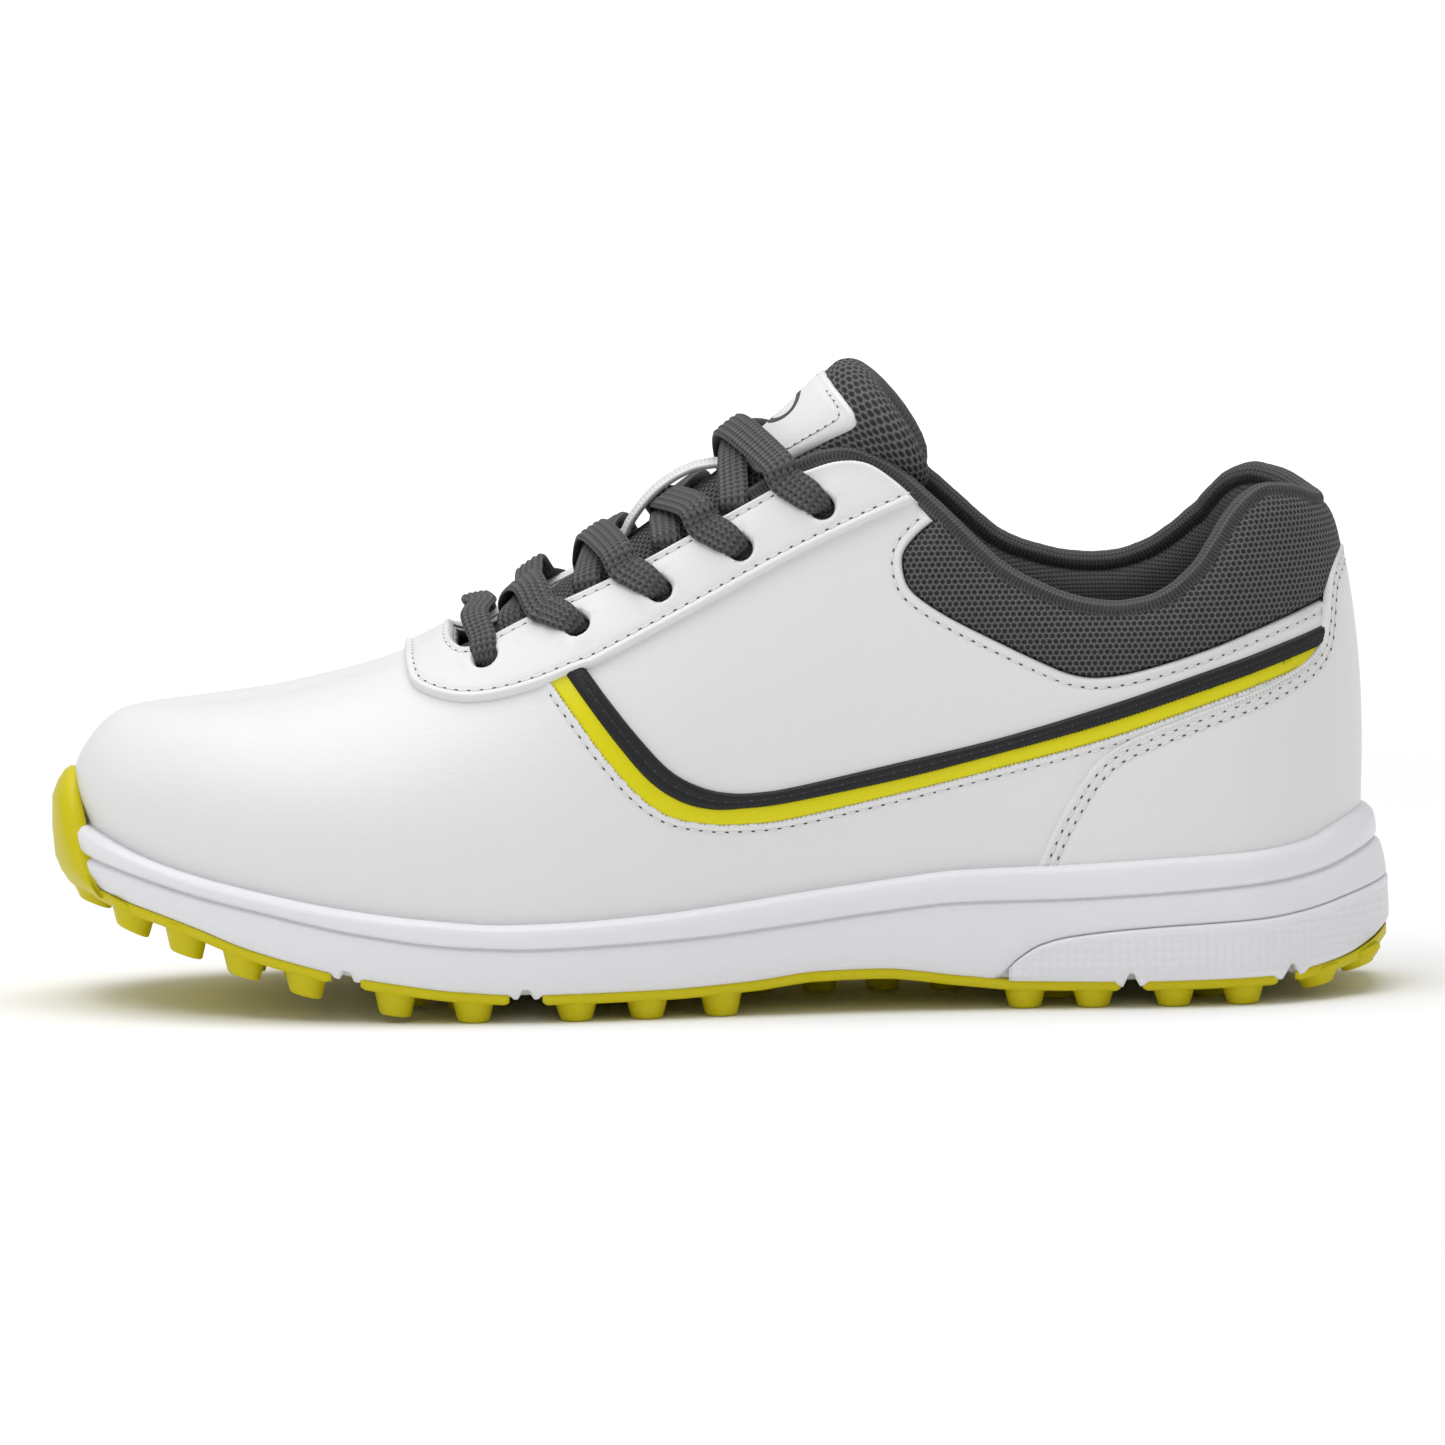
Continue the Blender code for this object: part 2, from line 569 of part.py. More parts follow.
def build_bumper():
    """Toe shield that rises from the toe pad over the front of the midsole and the upper."""
    sections = []
    steps = 10
    for k in range(-steps, steps + 1):
        side = -1 if k <= 0 else 1
        angle = BUMPER_ANGLE * abs(k) / steps
        edge = 1.0 - (abs(k) / steps) ** 4
        foot = plan_point(angle, side)
        normal = plan_point(angle, side, 1.0) - foot
        rise = 10.0 * edge
        base = midsole_bottom(foot.x)

        def at(offset, height):
            return Vector((foot.x + normal.x * offset, foot.y + normal.y * offset, height))
        sections.append([at(-2.4, base - 1.9), at(1.0, base - 0.8), at(2.0 * edge + 1.6, base + 4.0),
                         at(1.5 * edge + 1.6, 38.0), at(1.1, 38.4 + rise), at(0.5, 38.0 + rise),
                         at(1.35, 36.0), at(1.3, base + 2.0), at(0.6, base - 0.3), at(-2.4, base - 0.4)])
    return loft("toe_bumper", sections, None, home=CUTTERS)


build_midsole()
build_heel_wrap()
for pad_name, (pad_start, pad_end) in PADS.items():
    build_pad(pad_name, pad_start, pad_end)


def build_slab(name, inset, low, high, finish):
    """A sheet that covers the footbed, inset from the sole plan and following the sole's rise."""
    rings = [level_ring(-inset, lambda x: feather(x) + low), level_ring(-inset, lambda x: feather(x) + high)]
    return stack(name, rings, finish)


build_slab("insole_board", 8.2, 1.2, 2.8, GREY_BOARD)
build_slab("sockliner", 9.0, 3.1, 7.6, CHARCOAL)
SHANK = [(-38, 7.0), (-20, 9.5), (10, 10.0), (50, 9.5), (72, 7.0)]
shank_width = smooth_curve(SHANK)
loft("shank", [[Vector((x, side * shank_width(x), feather(x) + rise))
                for side, rise in ((-1, -0.2), (1, -0.2), (1, 0.9), (-1, 0.9))]
               for x in range(-38, 73, 10)], GREY_BOARD)


# ---------------------------------------------------------------- upper
def lowered(points, distance):
    return [(x, z - distance) for x, z in points]


def beside(points, distance):
    """An outline moved sideways by distance, to the right of its direction."""
    moved = []
    for k, (x, z) in enumerate(points):
        before, after = points[max(0, k - 1)], points[min(len(points) - 1, k + 1)]
        along = Vector((after[0] - before[0], after[1] - before[1]))
        along.normalize()
        moved.append((x + along.y * distance, z - along.x * distance))
    return moved


EDGE_DROP = BINDING_RADIUS * 2 + FIT_GAP + 0.1
MESH_SEAM = beside(MESH_LOWER, FIT_GAP + 0.1)
eyelet_cutter_data = bpy.data.meshes.new("eyelet_holes")
eyelet_shape = bmesh.new()
for eyelet_x, eyelet_z in EYELETS:
    for eyelet_side in (-1, 1):
        centre, normal = surface_at(eyelet_x, eyelet_z, eyelet_side)
        hole = bmesh.ops.create_cone(eyelet_shape, cap_ends=True, segments=8, radius1=EYELET_RADIUS * MM,
                                     radius2=EYELET_RADIUS * MM, depth=12 * MM)
        turn = Vector((0, 0, 1)).rotation_difference(normal).to_matrix()
        bmesh.ops.rotate(eyelet_shape, matrix=turn, verts=hole["verts"])
        bmesh.ops.translate(eyelet_shape, vec=centre * MM, verts=hole["verts"])
eyelet_shape.to_mesh(eyelet_cutter_data)
eyelet_shape.free()
EYELET_HOLES = add_object("eyelet_holes", eyelet_cutter_data, CUTTERS)

# The seam between vamp and quarters runs under the stripes, then up under the eyestay.
SEAM = [(-39, 79.6)] + STRIPE_MIDDLE
SEAM_UNDER = lowered([(-39.8, 79.2)] + STRIPE_MIDDLE, FIT_GAP + 0.1)
REAR_OF_VAMP = [(122, 62), (100, 53.5), (88, 49), (82, 44), (76, 33), (72, 15)]

vamp_outline = ([(-150, 15), (-150, 100), (-54.5, 100)] + THROAT[:3] + SEAM_UNDER[:-1] + [(113, 68.5)]
                + REAR_OF_VAMP)
VAMP = panel("vamp", MAIN, vamp_outline, WHITE_LEATHER)
cut(VAMP, EYELET_HOLES, "DIFFERENCE")

quarter_outline = (SEAM[:-1] + [(113, 69.4), (119, 71), (150, 75), (150, 80.4)] + list(reversed(MESH_SEAM))
                   + list(reversed(beside(TOPLINE[:5], EDGE_DROP)[1:4]))
                   + list(reversed(THROAT[3:-1])))
for side_name, side_sign in (("lateral", -1), ("medial", 1)):
    quarter = panel("quarter_" + side_name, MAIN, quarter_outline, WHITE_LEATHER, side_sign)
    cut(quarter, EYELET_HOLES, "DIFFERENCE")

eyestay_outline = (EYESTAY_OUTER + [(-60, 100), (-54.5, 100)] + THROAT
                   + beside(TOPLINE[:5], EDGE_DROP)[1:3])
EYESTAY = panel("eyestay", OVERLAY, eyestay_outline, WHITE_LEATHER)
cut(EYESTAY, EYELET_HOLES, "DIFFERENCE")

heel_outline = HEEL_EDGE + [(150, 91.1), (150, 15), (62, 15)]
panel("heel_overlay", OVERLAY, heel_outline, WHITE_LEATHER)

stripe_outline = STRIPE_TOP + [(120.6, 71.4)] + list(reversed(STRIPE_MIDDLE[:-1]))
band_outline = lowered(STRIPE_MIDDLE[:-1], FIT_GAP) + [(114, 68.6)] + list(reversed(STRIPE_LOW[:-1]))
for side_name, side_sign in (("lateral", -1), ("medial", 1)):
    panel("piping_" + side_name, STRIPE, stripe_outline, BLACK, side_sign)
    panel("accent_band_" + side_name, STRIPE, band_outline, LIME_RUBBER, side_sign)

TOP_CUT = beside(TOPLINE[2:], EDGE_DROP)
mesh_outline = MESH_LOWER + [(150, 81), (150, 99.0)] + list(reversed(TOP_CUT[1:]))
panel("collar_mesh", MAIN, mesh_outline, CHARCOAL)
foam_top = beside(TOPLINE[2:], EDGE_DROP + 1.0)
foam_outline = MESH_LOWER + [(150, 81), (150, 98.0)] + list(reversed(foam_top[1:]))
panel("collar_foam", FOAM, foam_outline, ((0.75, 0.72, 0.60), 0.9))
panel("collar_lining", COLLAR_LINING, mesh_outline, CHARCOAL)

panel("toe_puff", STIFFENER, [(-150, 30), (-150, 100), (-104, 100), (-98, 60), (-104, 31)], GREY_BOARD)
counter_outline = [(72, 31.5), (76, 44), (84, 56), (96, 64), (110, 69), (118, 76), (150, 78), (150, 34)]
panel("heel_counter", STIFFENER, counter_outline, GREY_BOARD)

lining_outline = ([(-150, 15), (-150, 100), (-54.5, 100)] + THROAT[:-1]
                  + beside(TOPLINE[:4], EDGE_DROP + 0.7)[1:3] + [(36.8, 99), (35.6, 92), (36.5, 86.5)]
                  + lowered(MESH_LOWER[4:-1], 2.2) + [(150, 79), (150, 15)])
LINING = panel("upper_lining", LINING_MID, lining_outline, CHARCOAL, end_layer=LINING_END)
cut(LINING, EYELET_HOLES, "DIFFERENCE")


# ---------------------------------------------------------------- tubes
def tube(name, route, radius, finish, resolution=2):
    """A round cord or roll along a route of millimetre points."""
    line = bpy.data.curves.new(name, "CURVE")
    line.dimensions = "3D"
    line.bevel_depth = radius * MM
    line.bevel_resolution = resolution
    line.use_fill_caps = True
    spline = line.splines.new("POLY")
    spline.points.add(len(route) - 1)
    for point, place in zip(spline.points, route):
        point.co = (*(Vector(place) * MM), 1.0)
    return add_object(name, line, SHOE, finish)


def through(points, per_span):
    """Points of a smooth line through the given points."""
    line = []
    count = len(points)
    for i in range(count - 1):
        before, start = points[max(0, i - 1)], points[i]
        end, after = points[i + 1], points[min(count - 1, i + 2)]
        for k in range(per_span):
            s = k / per_span
            line.append(0.5 * ((2 * start) + (end - before) * s
                               + (2 * before - 5 * start + 4 * end - after) * s * s
                               + (3 * start - before - 3 * end + after) * s ** 3))
    line.append(points[-1])
    return line


def build_binding():
    """Rolled edge of the foot opening, from the lateral eyestay round the heel to the medial."""
    stops = [27, 31, 38, 46, 53, 60, 68, 76, 84, 91, 96, 100, 104, 108, 112, 117]
    edge = beside([(x, topline(x)) for x in stops], BINDING_RADIUS)
    route = []
    for side in (-1, 1):
        half = []
        for x, z in edge:
            point, normal = surface_at(x, z, side)
            half.append(point - normal * BINDING_DEPTH)
        route += half if side < 0 else list(reversed(half))
    back = Vector((119.6, 0, topline(121) - BINDING_RADIUS))
    route.insert(len(stops), back)
    return tube("topline_binding", through(route, 2), BINDING_RADIUS, CHARCOAL, resolution=1)


build_binding()


# ---------------------------------------------------------------- tongue
def tongue_frame(x):
    """Centre point and outward direction of the tongue at x."""
    step = 0.5
    low, high = max(-60.0, x - step), min(26.5, x + step)
    along = Vector((high - low, 0, tongue_height(high) - tongue_height(low)))
    along.normalize()
    return Vector((x, TONGUE_Y, tongue_height(x))), Vector((-along.z, 0, along.x)), along


def tongue_point(x, across, depth):
    """A point of the tongue: across runs from -1 to 1, depth goes inwards from its face."""
    centre, outward, _ = tongue_frame(x)
    width, wrap = tongue_width(x), tongue_wrap(x)
    radius = (width * width + wrap * wrap) / (2 * wrap)
    spread = math.atan2(width, radius - wrap)
    turn = spread * across
    reach = radius - depth
    return (centre - outward * radius + outward * reach * math.cos(turn)
            + Vector((0, reach * math.sin(turn), 0)))


def tongue_layer(name, outer_share, inner_share, shift, finish, start=-60.0, end=26.5, spread=1.0):
    """A layer of the tongue between two shares of its thickness."""
    steps, across_steps = 11, 8
    sections = []
    for k in range(steps + 1):
        x = start + (end - start) * k / steps
        thick = tongue_thickness(x)
        row = [tongue_point(x, spread * (2 * j / across_steps - 1), outer_share * thick + shift)
               for j in range(across_steps + 1)]
        row += [tongue_point(x, spread * (2 * j / across_steps - 1), inner_share * thick)
                for j in range(across_steps, -1, -1)]
        sections.append(row)
    return loft(name, sections, finish)


tongue_layer("tongue_shell", 0.0, 0.22, 0.0, CHARCOAL)
tongue_layer("tongue_foam", 0.22, 0.80, TONGUE_GAP, ((0.75, 0.72, 0.60), 0.9))
tongue_layer("tongue_lining", 0.80, 1.1, TONGUE_GAP, CHARCOAL)


def strap(name, route, half_width, thickness, finish):
    """A flat strap in the shoe's middle plane. The route gives x, z and nothing else."""
    sections = []
    for k, (x, z) in enumerate(route):
        before, after = route[max(0, k - 1)], route[min(len(route) - 1, k + 1)]
        along = Vector((after[0] - before[0], 0, after[1] - before[1]))
        along.normalize()
        out = Vector((-along.z, 0, along.x)) * thickness
        centre = Vector((x, TONGUE_Y, z))
        left, right = Vector((0, -half_width, 0)), Vector((0, half_width, 0))
        sections.append([centre + left, centre + right, centre + right + out, centre + left + out])
    return loft(name, sections, finish)


def above_tongue(x, height):
    centre, outward, _ = tongue_frame(x)
    place = centre + outward * height
    return (place.x, place.z)


KEEPER_ROUTE = [above_tongue(-21.5, 0.6), above_tongue(-18.8, 0.8), above_tongue(-17.6, 3.4),
                above_tongue(-16.6, 8.6), above_tongue(-11.5, 10.3), above_tongue(-6.6, 8.6),
                above_tongue(-5.0, 3.4), above_tongue(-4.0, 0.8), above_tongue(-1.4, 0.6)]
strap("lace_keeper", KEEPER_ROUTE, 4.5, 1.2, WHITE_LEATHER)


def build_label():
    """Stitched label that lies across the tongue's face near its top."""
    sections = []
    for x in (9.0, 12.5, 16.0, 19.5, 23.0):
        row = [tongue_point(x, 0.45 * (j / 3 - 1), -0.4) for j in range(7)]
        row += [tongue_point(x, 0.45 * (j / 3 - 1), -1.2) for j in range(6, -1, -1)]
        sections.append(row)
    return loft("tongue_label", sections, WHITE_LEATHER)


build_label()


# ---------------------------------------------------------------- lace
def off_surface(x, z, side, distance):
    point, normal = surface_at(x, z, side)
    return point + normal * distance


def lace_route(first_side):
    """Half of the lace, from the middle of the lowest bar to its tucked-in end. Each time it
    goes in through an eyelet, comes out past the edge of the throat, and crosses the tongue."""
    side = first_side
    points = [Vector((-48.5, TONGUE_Y, tongue_height(-48.5) + 6.5)),
              off_surface(-48.0, 77.0, side, 3.6)]
    for number, (x, z) in enumerate(EYELETS):
        points += [off_surface(x, z + 2.6, side, 3.2), off_surface(x, z, side, 1.6),
                   off_surface(x, z, side, -1.8), off_surface(x + 1.6, z + 0.4, side, -4.1)]
        if number == len(EYELETS) - 1:
            break
        out_x = x + 8.0
        points += [off_surface(out_x - 1.5, throat(out_x - 1.5) - 3.0, side, -4.3),
                   off_surface(out_x, throat(out_x) + 1.9, side, -4.1),
                   off_surface(out_x + 1.0, throat(out_x + 1.0) + 5.0, side, -1.8)]
        below = (number % 2 == 0) == (first_side < 0)
        cross_x, cross_height = TONGUE_CROSSINGS[number]
        centre_line, outward, _ = tongue_frame(cross_x)
        points.append(centre_line + outward * (cross_height if below else cross_height + 3.2))
        side = -side
        over_x = x + 14.0
        points += [off_surface(over_x - 2.0, throat(over_x - 2.0) + 4.5, side, 3.0),
                   off_surface(over_x, throat(over_x), side, 3.6)]
    for x, z, depth in ((24.5, 98.0, 4.3), (26.0, 91.0, 4.5), (26.0, 83.0, 4.8), (25.0, 76.0, 5.4)):
        points.append(off_surface(x, z, side, -depth))
    return points


lateral_half = lace_route(-1)
medial_half = lace_route(1)
lace_points = list(reversed(lateral_half)) + medial_half[1:]
tube("lace", through(lace_points, 2), LACE_RADIUS, CHARCOAL, resolution=1)
for aglet_name, half in (("aglet_lateral", lateral_half), ("aglet_medial", medial_half)):
    end_point = half[-1]
    heading = end_point - half[-2]
    heading.normalize()
    start_point = end_point + heading * FIT_GAP
    tube(aglet_name, [start_point, start_point + heading * 17.0], 1.3, ((0.05, 0.05, 0.05), 0.3))


# ---------------------------------------------------------------- hinges
def hinge(name, place, pieces):
    """An empty on a joint's axis, which carries the pieces that turn about it."""
    pivot = bpy.data.objects.new(name, None)
    SHOE.objects.link(pivot)
    pivot.location = Vector(place) * MM
    for piece in pieces:
        SHOE.objects[piece].parent = pivot
        SHOE.objects[piece].matrix_parent_inverse = Matrix.Translation(Vector(place) * -MM)


hinge("tongue_hinge", TONGUE_HINGE,
      ("tongue_shell", "tongue_foam", "tongue_lining", "tongue_label", "lace_keeper"))
hinge("sockliner_hinge", SOCKLINER_HINGE, ("sockliner",))
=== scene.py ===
"""Looks of the golf shoe: fine leather, mesh, laces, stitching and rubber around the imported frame.

Toe towards -X, heel towards +X, lateral side at -Y, +Z up. Lengths are millimetres, turned into
metres by MM. The curves and the last surface are those of the frame's own design.
"""
import math

import bmesh
import bpy
import numpy as np
from mathutils import Matrix, Vector, geometry, kdtree


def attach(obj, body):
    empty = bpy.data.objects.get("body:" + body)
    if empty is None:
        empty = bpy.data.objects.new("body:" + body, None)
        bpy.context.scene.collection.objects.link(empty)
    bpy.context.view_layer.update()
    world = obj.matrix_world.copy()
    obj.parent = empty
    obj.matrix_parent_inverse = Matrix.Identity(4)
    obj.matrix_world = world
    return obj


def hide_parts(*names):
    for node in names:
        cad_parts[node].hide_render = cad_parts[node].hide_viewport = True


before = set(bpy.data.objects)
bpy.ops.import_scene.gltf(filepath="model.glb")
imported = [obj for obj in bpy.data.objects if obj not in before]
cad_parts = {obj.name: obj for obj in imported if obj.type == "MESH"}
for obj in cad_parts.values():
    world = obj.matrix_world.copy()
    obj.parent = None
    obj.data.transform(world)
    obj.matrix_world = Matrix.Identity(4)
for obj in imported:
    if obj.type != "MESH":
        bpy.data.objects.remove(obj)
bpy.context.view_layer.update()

MM = 0.001

# ---------------------------------------------------------------- driving dimensions
PLAN_CENTRE_X = -0.5
PLAN_HALF_LENGTH = 133.5
FEATHER_INSET = 2.6
TOE_RIDGE_X = -112.0
HEEL_RIDGE_X = 112.0
HEEL_FLARE = 4.0
FLARE_START = 60.0          # x from which the sole flares out towards the heel
FLARE_LENGTH = 73.0
WRAP_START = 57.6
TONGUE_Y = -2.0
TONGUE_ROOT = -60.0
TONGUE_END = 26.5           # last x of the tongue's table
TONGUE_TOP = 28.6           # x that its rounded tip reaches
TONGUE_TIP = 3.4            # length of the rounded tip, along x
TONGUE_CORNER = 5.5         # how far its top corners are rounded off, along x
BINDING_DEPTH = 2.6
EYELET_RADIUS = 2.6
LABEL_X = 14.6
LABEL_HALF = 8.8
LACE_WIDTH = 7.0
LACE_THICKNESS = 1.9
STITCH_PITCH = 2.7
SHEET = 1.2                 # thickness of the upper's leather
PUFF_END = 0.19             # how far back the toe puff reaches, as u
STIFF_EDGE = 0.97           # how far down the stiffeners reach, as w
TUCK = 1.04                 # how far panels run down behind the sole's rim, as a share of the rib
GRID_SCALE = np.array([400.0, 110.0])   # rough millimetres per unit of u and of w

LATERAL_WIDTH = [(-134, 0), (-131.5, 14), (-123, 27.5), (-106, 38.5), (-85, 44.8), (-60, 48.1), (-38, 48.6),
                 (-15, 46), (10, 41.5), (35, 38.5), (60, 37.5), (85, 38), (105, 35.5), (121, 26),
                 (129.5, 14.5), (133, 0)]
MEDIAL_WIDTH = [(-134, 0), (-131.5, 13), (-123, 25.5), (-106, 37), (-85, 45), (-60, 48.4), (-38, 47.5),
                (-15, 43), (10, 37.5), (35, 34), (60, 34.5), (85, 36), (105, 34.5), (121, 25.5),
                (129.5, 14), (133, 0)]
CENTRE_SHIFT = [(-134, 6), (-110, 4), (-80, 1), (-50, 0), (133, 0)]
RIDGE_SHIFT = [(-112, 4), (-80, 1), (-50, -2), (50, -2), (90, 0)]
FEATHER = [(-134, 38.6), (-127, 35.8), (-119, 32.8), (-107, 29.5), (-94.6, 26.9), (-78, 23.9), (-60, 21.7),
           (-45, 20.6), (-33, 20.8), (-12.5, 22), (4, 23.8), (16, 25.4), (33, 27.5), (49, 29.3), (68, 29.9),
           (90, 31), (111, 31.9), (121, 33.2), (128, 36), (138, 39)]
RIM_GROOVE = [(-134, 32.2), (-123, 29.4), (-107, 25.2), (-94.6, 22.6), (-74, 18.4), (-54, 15.8),
              (-40, 15.2), (-25, 15.6), (-4, 16.7), (16, 18.8), (33, 20.8), (49, 22.3), (68, 22.6),
              (90, 23.6), (115, 25.3), (123, 26.7), (129, 28.8), (138, 32.3)]
WRAP_GROOVE = [(57, 7.3), (61.3, 11.2), (65.4, 13.6), (71.6, 15.2), (88, 16.9), (111, 18.1), (119, 19.2),
               (127, 21.3), (138, 24)]
MIDSOLE_BOTTOM = [(-138, 27), (-130, 25.8), (-127.5, 24.8), (-123, 23.3), (-115, 21), (-107, 18.4),
                  (-99, 15.4), (-86.6, 12), (-78, 10), (-66, 8.1), (-54, 6.6), (-40, 5.8), (-13, 6.1),
                  (6, 7.2), (20, 8.8), (32, 9), (49, 7.2), (62, 6), (85, 5.7), (112, 6), (119, 7),
                  (125, 8.4), (129.5, 10.4), (133, 13.2)]
LUG_TIPS = [(-138, 23), (-129.6, 21.2), (-120.6, 16.6), (-109.6, 12.6), (-98, 8.8), (-85, 5.2), (-72, 2.2),
            (-60, 0.6), (-51, 0), (106, 0), (114, 1), (122, 2.6), (131, 5.4), (138, 8)]
RIDGE = [(-112, 60.7), (-99, 61.9), (-86, 63.8), (-77.6, 66.0), (-69, 68.7), (-61, 72.0), (-54, 75.9),
         (-47, 81), (-36, 89.3), (-20, 101.8), (-3, 114.3), (12, 123), (25, 128), (40, 129), (60, 125),
         (85, 119), (112, 114)]
SECTION_POWER = [(-134, 0.5), (-110, 0.55), (-85, 0.75), (-60, 1.0), (-47, 1.1), (-20, 1.05), (5, 0.92),
                 (25, 0.78), (45, 0.68), (80, 0.62), (134, 0.6)]
SECTION_BULGE = [(-134, 9.0), (-110, 5.0), (-60, 5.0), (0, 3.0), (80, 2.0), (134, 4.0)]

# Outlines of the upper's panels, as x and z seen from the side.
THROAT = [(-54.5, 79), (-54.2, 76.0), (-53.2, 74.6), (-51, 73.9), (-47.7, 75.2), (-36.3, 81.2),
          (-19.7, 89.3), (-5.2, 97.2), (11.3, 106.1), (17.5, 109.6)]
EYESTAY_TOP = [(17.5, 109.6), (25.0, 111.9), (31.5, 111.5), (37.6, 107.6), (41.6, 103.6)]
EYESTAY_OUTER = [(41.6, 103.6), (38, 102.9), (17.3, 93.8), (-3.4, 83.1), (-24.1, 72.5), (-28.2, 71.0),
                 (-36.5, 67.7), (-44.7, 65.4), (-50.9, 64.6), (-56, 64.9), (-60.1, 65.9), (-62.6, 67.2),
                 (-63.8, 69.9), (-64.1, 74)]
TOPLINE = [(24, 115.0), (31, 114.6), (38, 111), (46.2, 103.9), (58.3, 92.2), (66.5, 87.4), (74.7, 84.4),
           (82.9, 83.6), (91, 85.4), (97.3, 90), (101.5, 95.4), (105.7, 101.2), (110, 104.9), (114, 106.2),
           (120, 105.3), (126, 102.6), (134, 101.5)]
MEDIAL_LIFT = [(46, 0), (56, 0.3), (65, 1.5), (75, 3.0), (85, 4.3), (94, 6.0), (99, 6.2), (103, 5.0),
               (108, 3.0), (114, 1.0), (122, 0)]
MESH_LOWER = [(44.6, 100.3), (41, 97.4), (38.4, 94), (38.2, 90.4), (39.2, 87.2), (41.8, 84.5), (47.9, 80.5),
              (58.1, 75.2), (66.3, 71.2), (72.4, 68.7), (78.5, 68), (86.8, 69.3), (99.1, 72.7),
              (111.5, 76.9), (124, 81), (136, 84)]
STRIPE_TOP = [(-26.6, 71.0), (-22.1, 65), (-16.1, 57.5), (-10, 51), (-3.9, 47.5), (2.2, 46), (8.4, 46),
              (16.6, 47.1), (37.2, 51.4), (57.8, 56), (78.4, 61.9), (99.1, 68.5), (115.6, 73.5),
              (126, 76.6)]
STRIPE_MIDDLE = [(-30.6, 69.4), (-26.3, 63.5), (-20.2, 55.4), (-14.2, 48.6), (-8.1, 44.5), (-1.9, 42.7),
                 (4.2, 42.6), (14.5, 43.6), (37.2, 47.8), (57.8, 52.7), (78.4, 58.2), (99, 64.6),
                 (118, 70.4), (126, 72.8)]
STRIPE_LOW = [(-33.4, 68.3), (-29.2, 62.4), (-23.1, 54), (-16.3, 46.3), (-10.2, 42), (-3, 40.3),
              (4.2, 39.9), (14.5, 40.7), (37.1, 45.4), (57.7, 50.2), (78.3, 55.5), (99, 62.1),
              (115.5, 67.4), (126, 70.4)]
HEEL_EDGE = [(63.5, 26), (67.8, 36), (72, 43.5), (76.2, 49.5), (80.4, 53.2), (86.6, 56.3), (99, 60.8),
             (111.3, 65), (119.6, 69), (122.9, 72.6), (123.9, 76.6), (124.3, 80.6), (125, 85.7),
             (126.6, 89.6), (128.6, 91.6), (134, 91.6)]
EYELETS = [(-47.3, 72.4), (-28.5, 79.6), (-11.6, 86.7), (5.0, 94.9), (21.9, 103.1)]

TONGUE = [(-60, 69.0, 18, 5.0), (-50, 73.0, 21, 7.5), (-32, 84.6, 22.5, 9.5), (-18, 94.0, 22, 11.5),
          (-3, 104.8, 20, 14), (5.7, 111.6, 18.4, 17), (15.6, 120.3, 18.2, 24), (22.5, 127, 18.2, 31.5),
          (26.5, 130.6, 18.2, 36)]
TONGUE_THICKNESS = [(-60, 3.6), (-32, 4.4), (-3, 5.6), (12, 8.2), (27, 9.6)]

PADS = {
    "outsole_toe_pad": (-133.4, -80.0),
    "outsole_forefoot_pad": (-74.0, -43.6),
    "outsole_midfoot_pad": (-36.8, 81.6),
    "outsole_heel_pad": (86.1, 113.9),
    "outsole_edge_pad": (117.4, 136.6),
}
NOTCHES = [-77.0, -40.2, 83.8, 115.6]
EDGE_LUGS = [-120.8, -109.8, -98, -85.3, -67, -51, -30, -15.5, -0.3, 62, 76.0, 92.5, 106.7, 122, 130.5]
CENTRE_LUGS = [-124, -104, -91, -69.5, -59, -48.5, -23, -8, 7, 20, 33, 46, 68, 92, 107.5, 124]
TOE_LUG_X = -128.6
HALFWAY_LUGS = [-97, -86.5, -64, -53, -31, -15.5, 69, 100]


# ---------------------------------------------------------------- curves and the last surface
def curve(points):
    """A curve through the points that never overshoots them, for arrays of x."""
    xs, ys = np.array(points, float).T
    steps = np.diff(ys) / np.diff(xs)
    slopes = np.zeros(len(xs))
    slopes[0], slopes[-1] = steps[0], steps[-1]
    for i in range(1, len(xs) - 1):
        if steps[i - 1] * steps[i] > 0:
            slopes[i] = 2.0 / (1.0 / steps[i - 1] + 1.0 / steps[i])

    def value(x):
        x = np.clip(np.asarray(x, float), xs[0], xs[-1])
        i = np.clip(np.searchsorted(xs, x, side="right") - 1, 0, len(xs) - 2)
        width = xs[i + 1] - xs[i]
        s = (x - xs[i]) / width
        return (ys[i] * (1 + 2 * s) * (1 - s) ** 2 + slopes[i] * width * s * (1 - s) ** 2
                + ys[i + 1] * s * s * (3 - 2 * s) + slopes[i + 1] * width * s * s * (s - 1))
    return value


def angle_at(x):
    """The angle, 0 at the toe and pi at the heel, of a place along the sole's plan."""
    return np.arccos(np.clip((PLAN_CENTRE_X - np.asarray(x, float)) / PLAN_HALF_LENGTH, -1, 1))


lateral_width = curve([(float(angle_at(x)), w) for x, w in LATERAL_WIDTH])
medial_width = curve([(float(angle_at(x)), w) for x, w in MEDIAL_WIDTH])
centre_shift = curve(CENTRE_SHIFT)
feather = curve(FEATHER)
rim_groove = curve(RIM_GROOVE)
wrap_groove = curve(WRAP_GROOVE)
midsole_bottom = curve(MIDSOLE_BOTTOM)
lug_tips = curve(LUG_TIPS)
ridge = curve(RIDGE)
ridge_shift = curve(RIDGE_SHIFT)
section_power = curve(SECTION_POWER)
section_bulge = curve(SECTION_BULGE)
throat_height = curve(THROAT[3:])
tongue_height = curve([(p[0], p[1]) for p in TONGUE])
tongue_width = curve([(p[0], p[2]) for p in TONGUE])
tongue_wrap = curve([(p[0], p[3]) for p in TONGUE])
tongue_thickness = curve(TONGUE_THICKNESS)


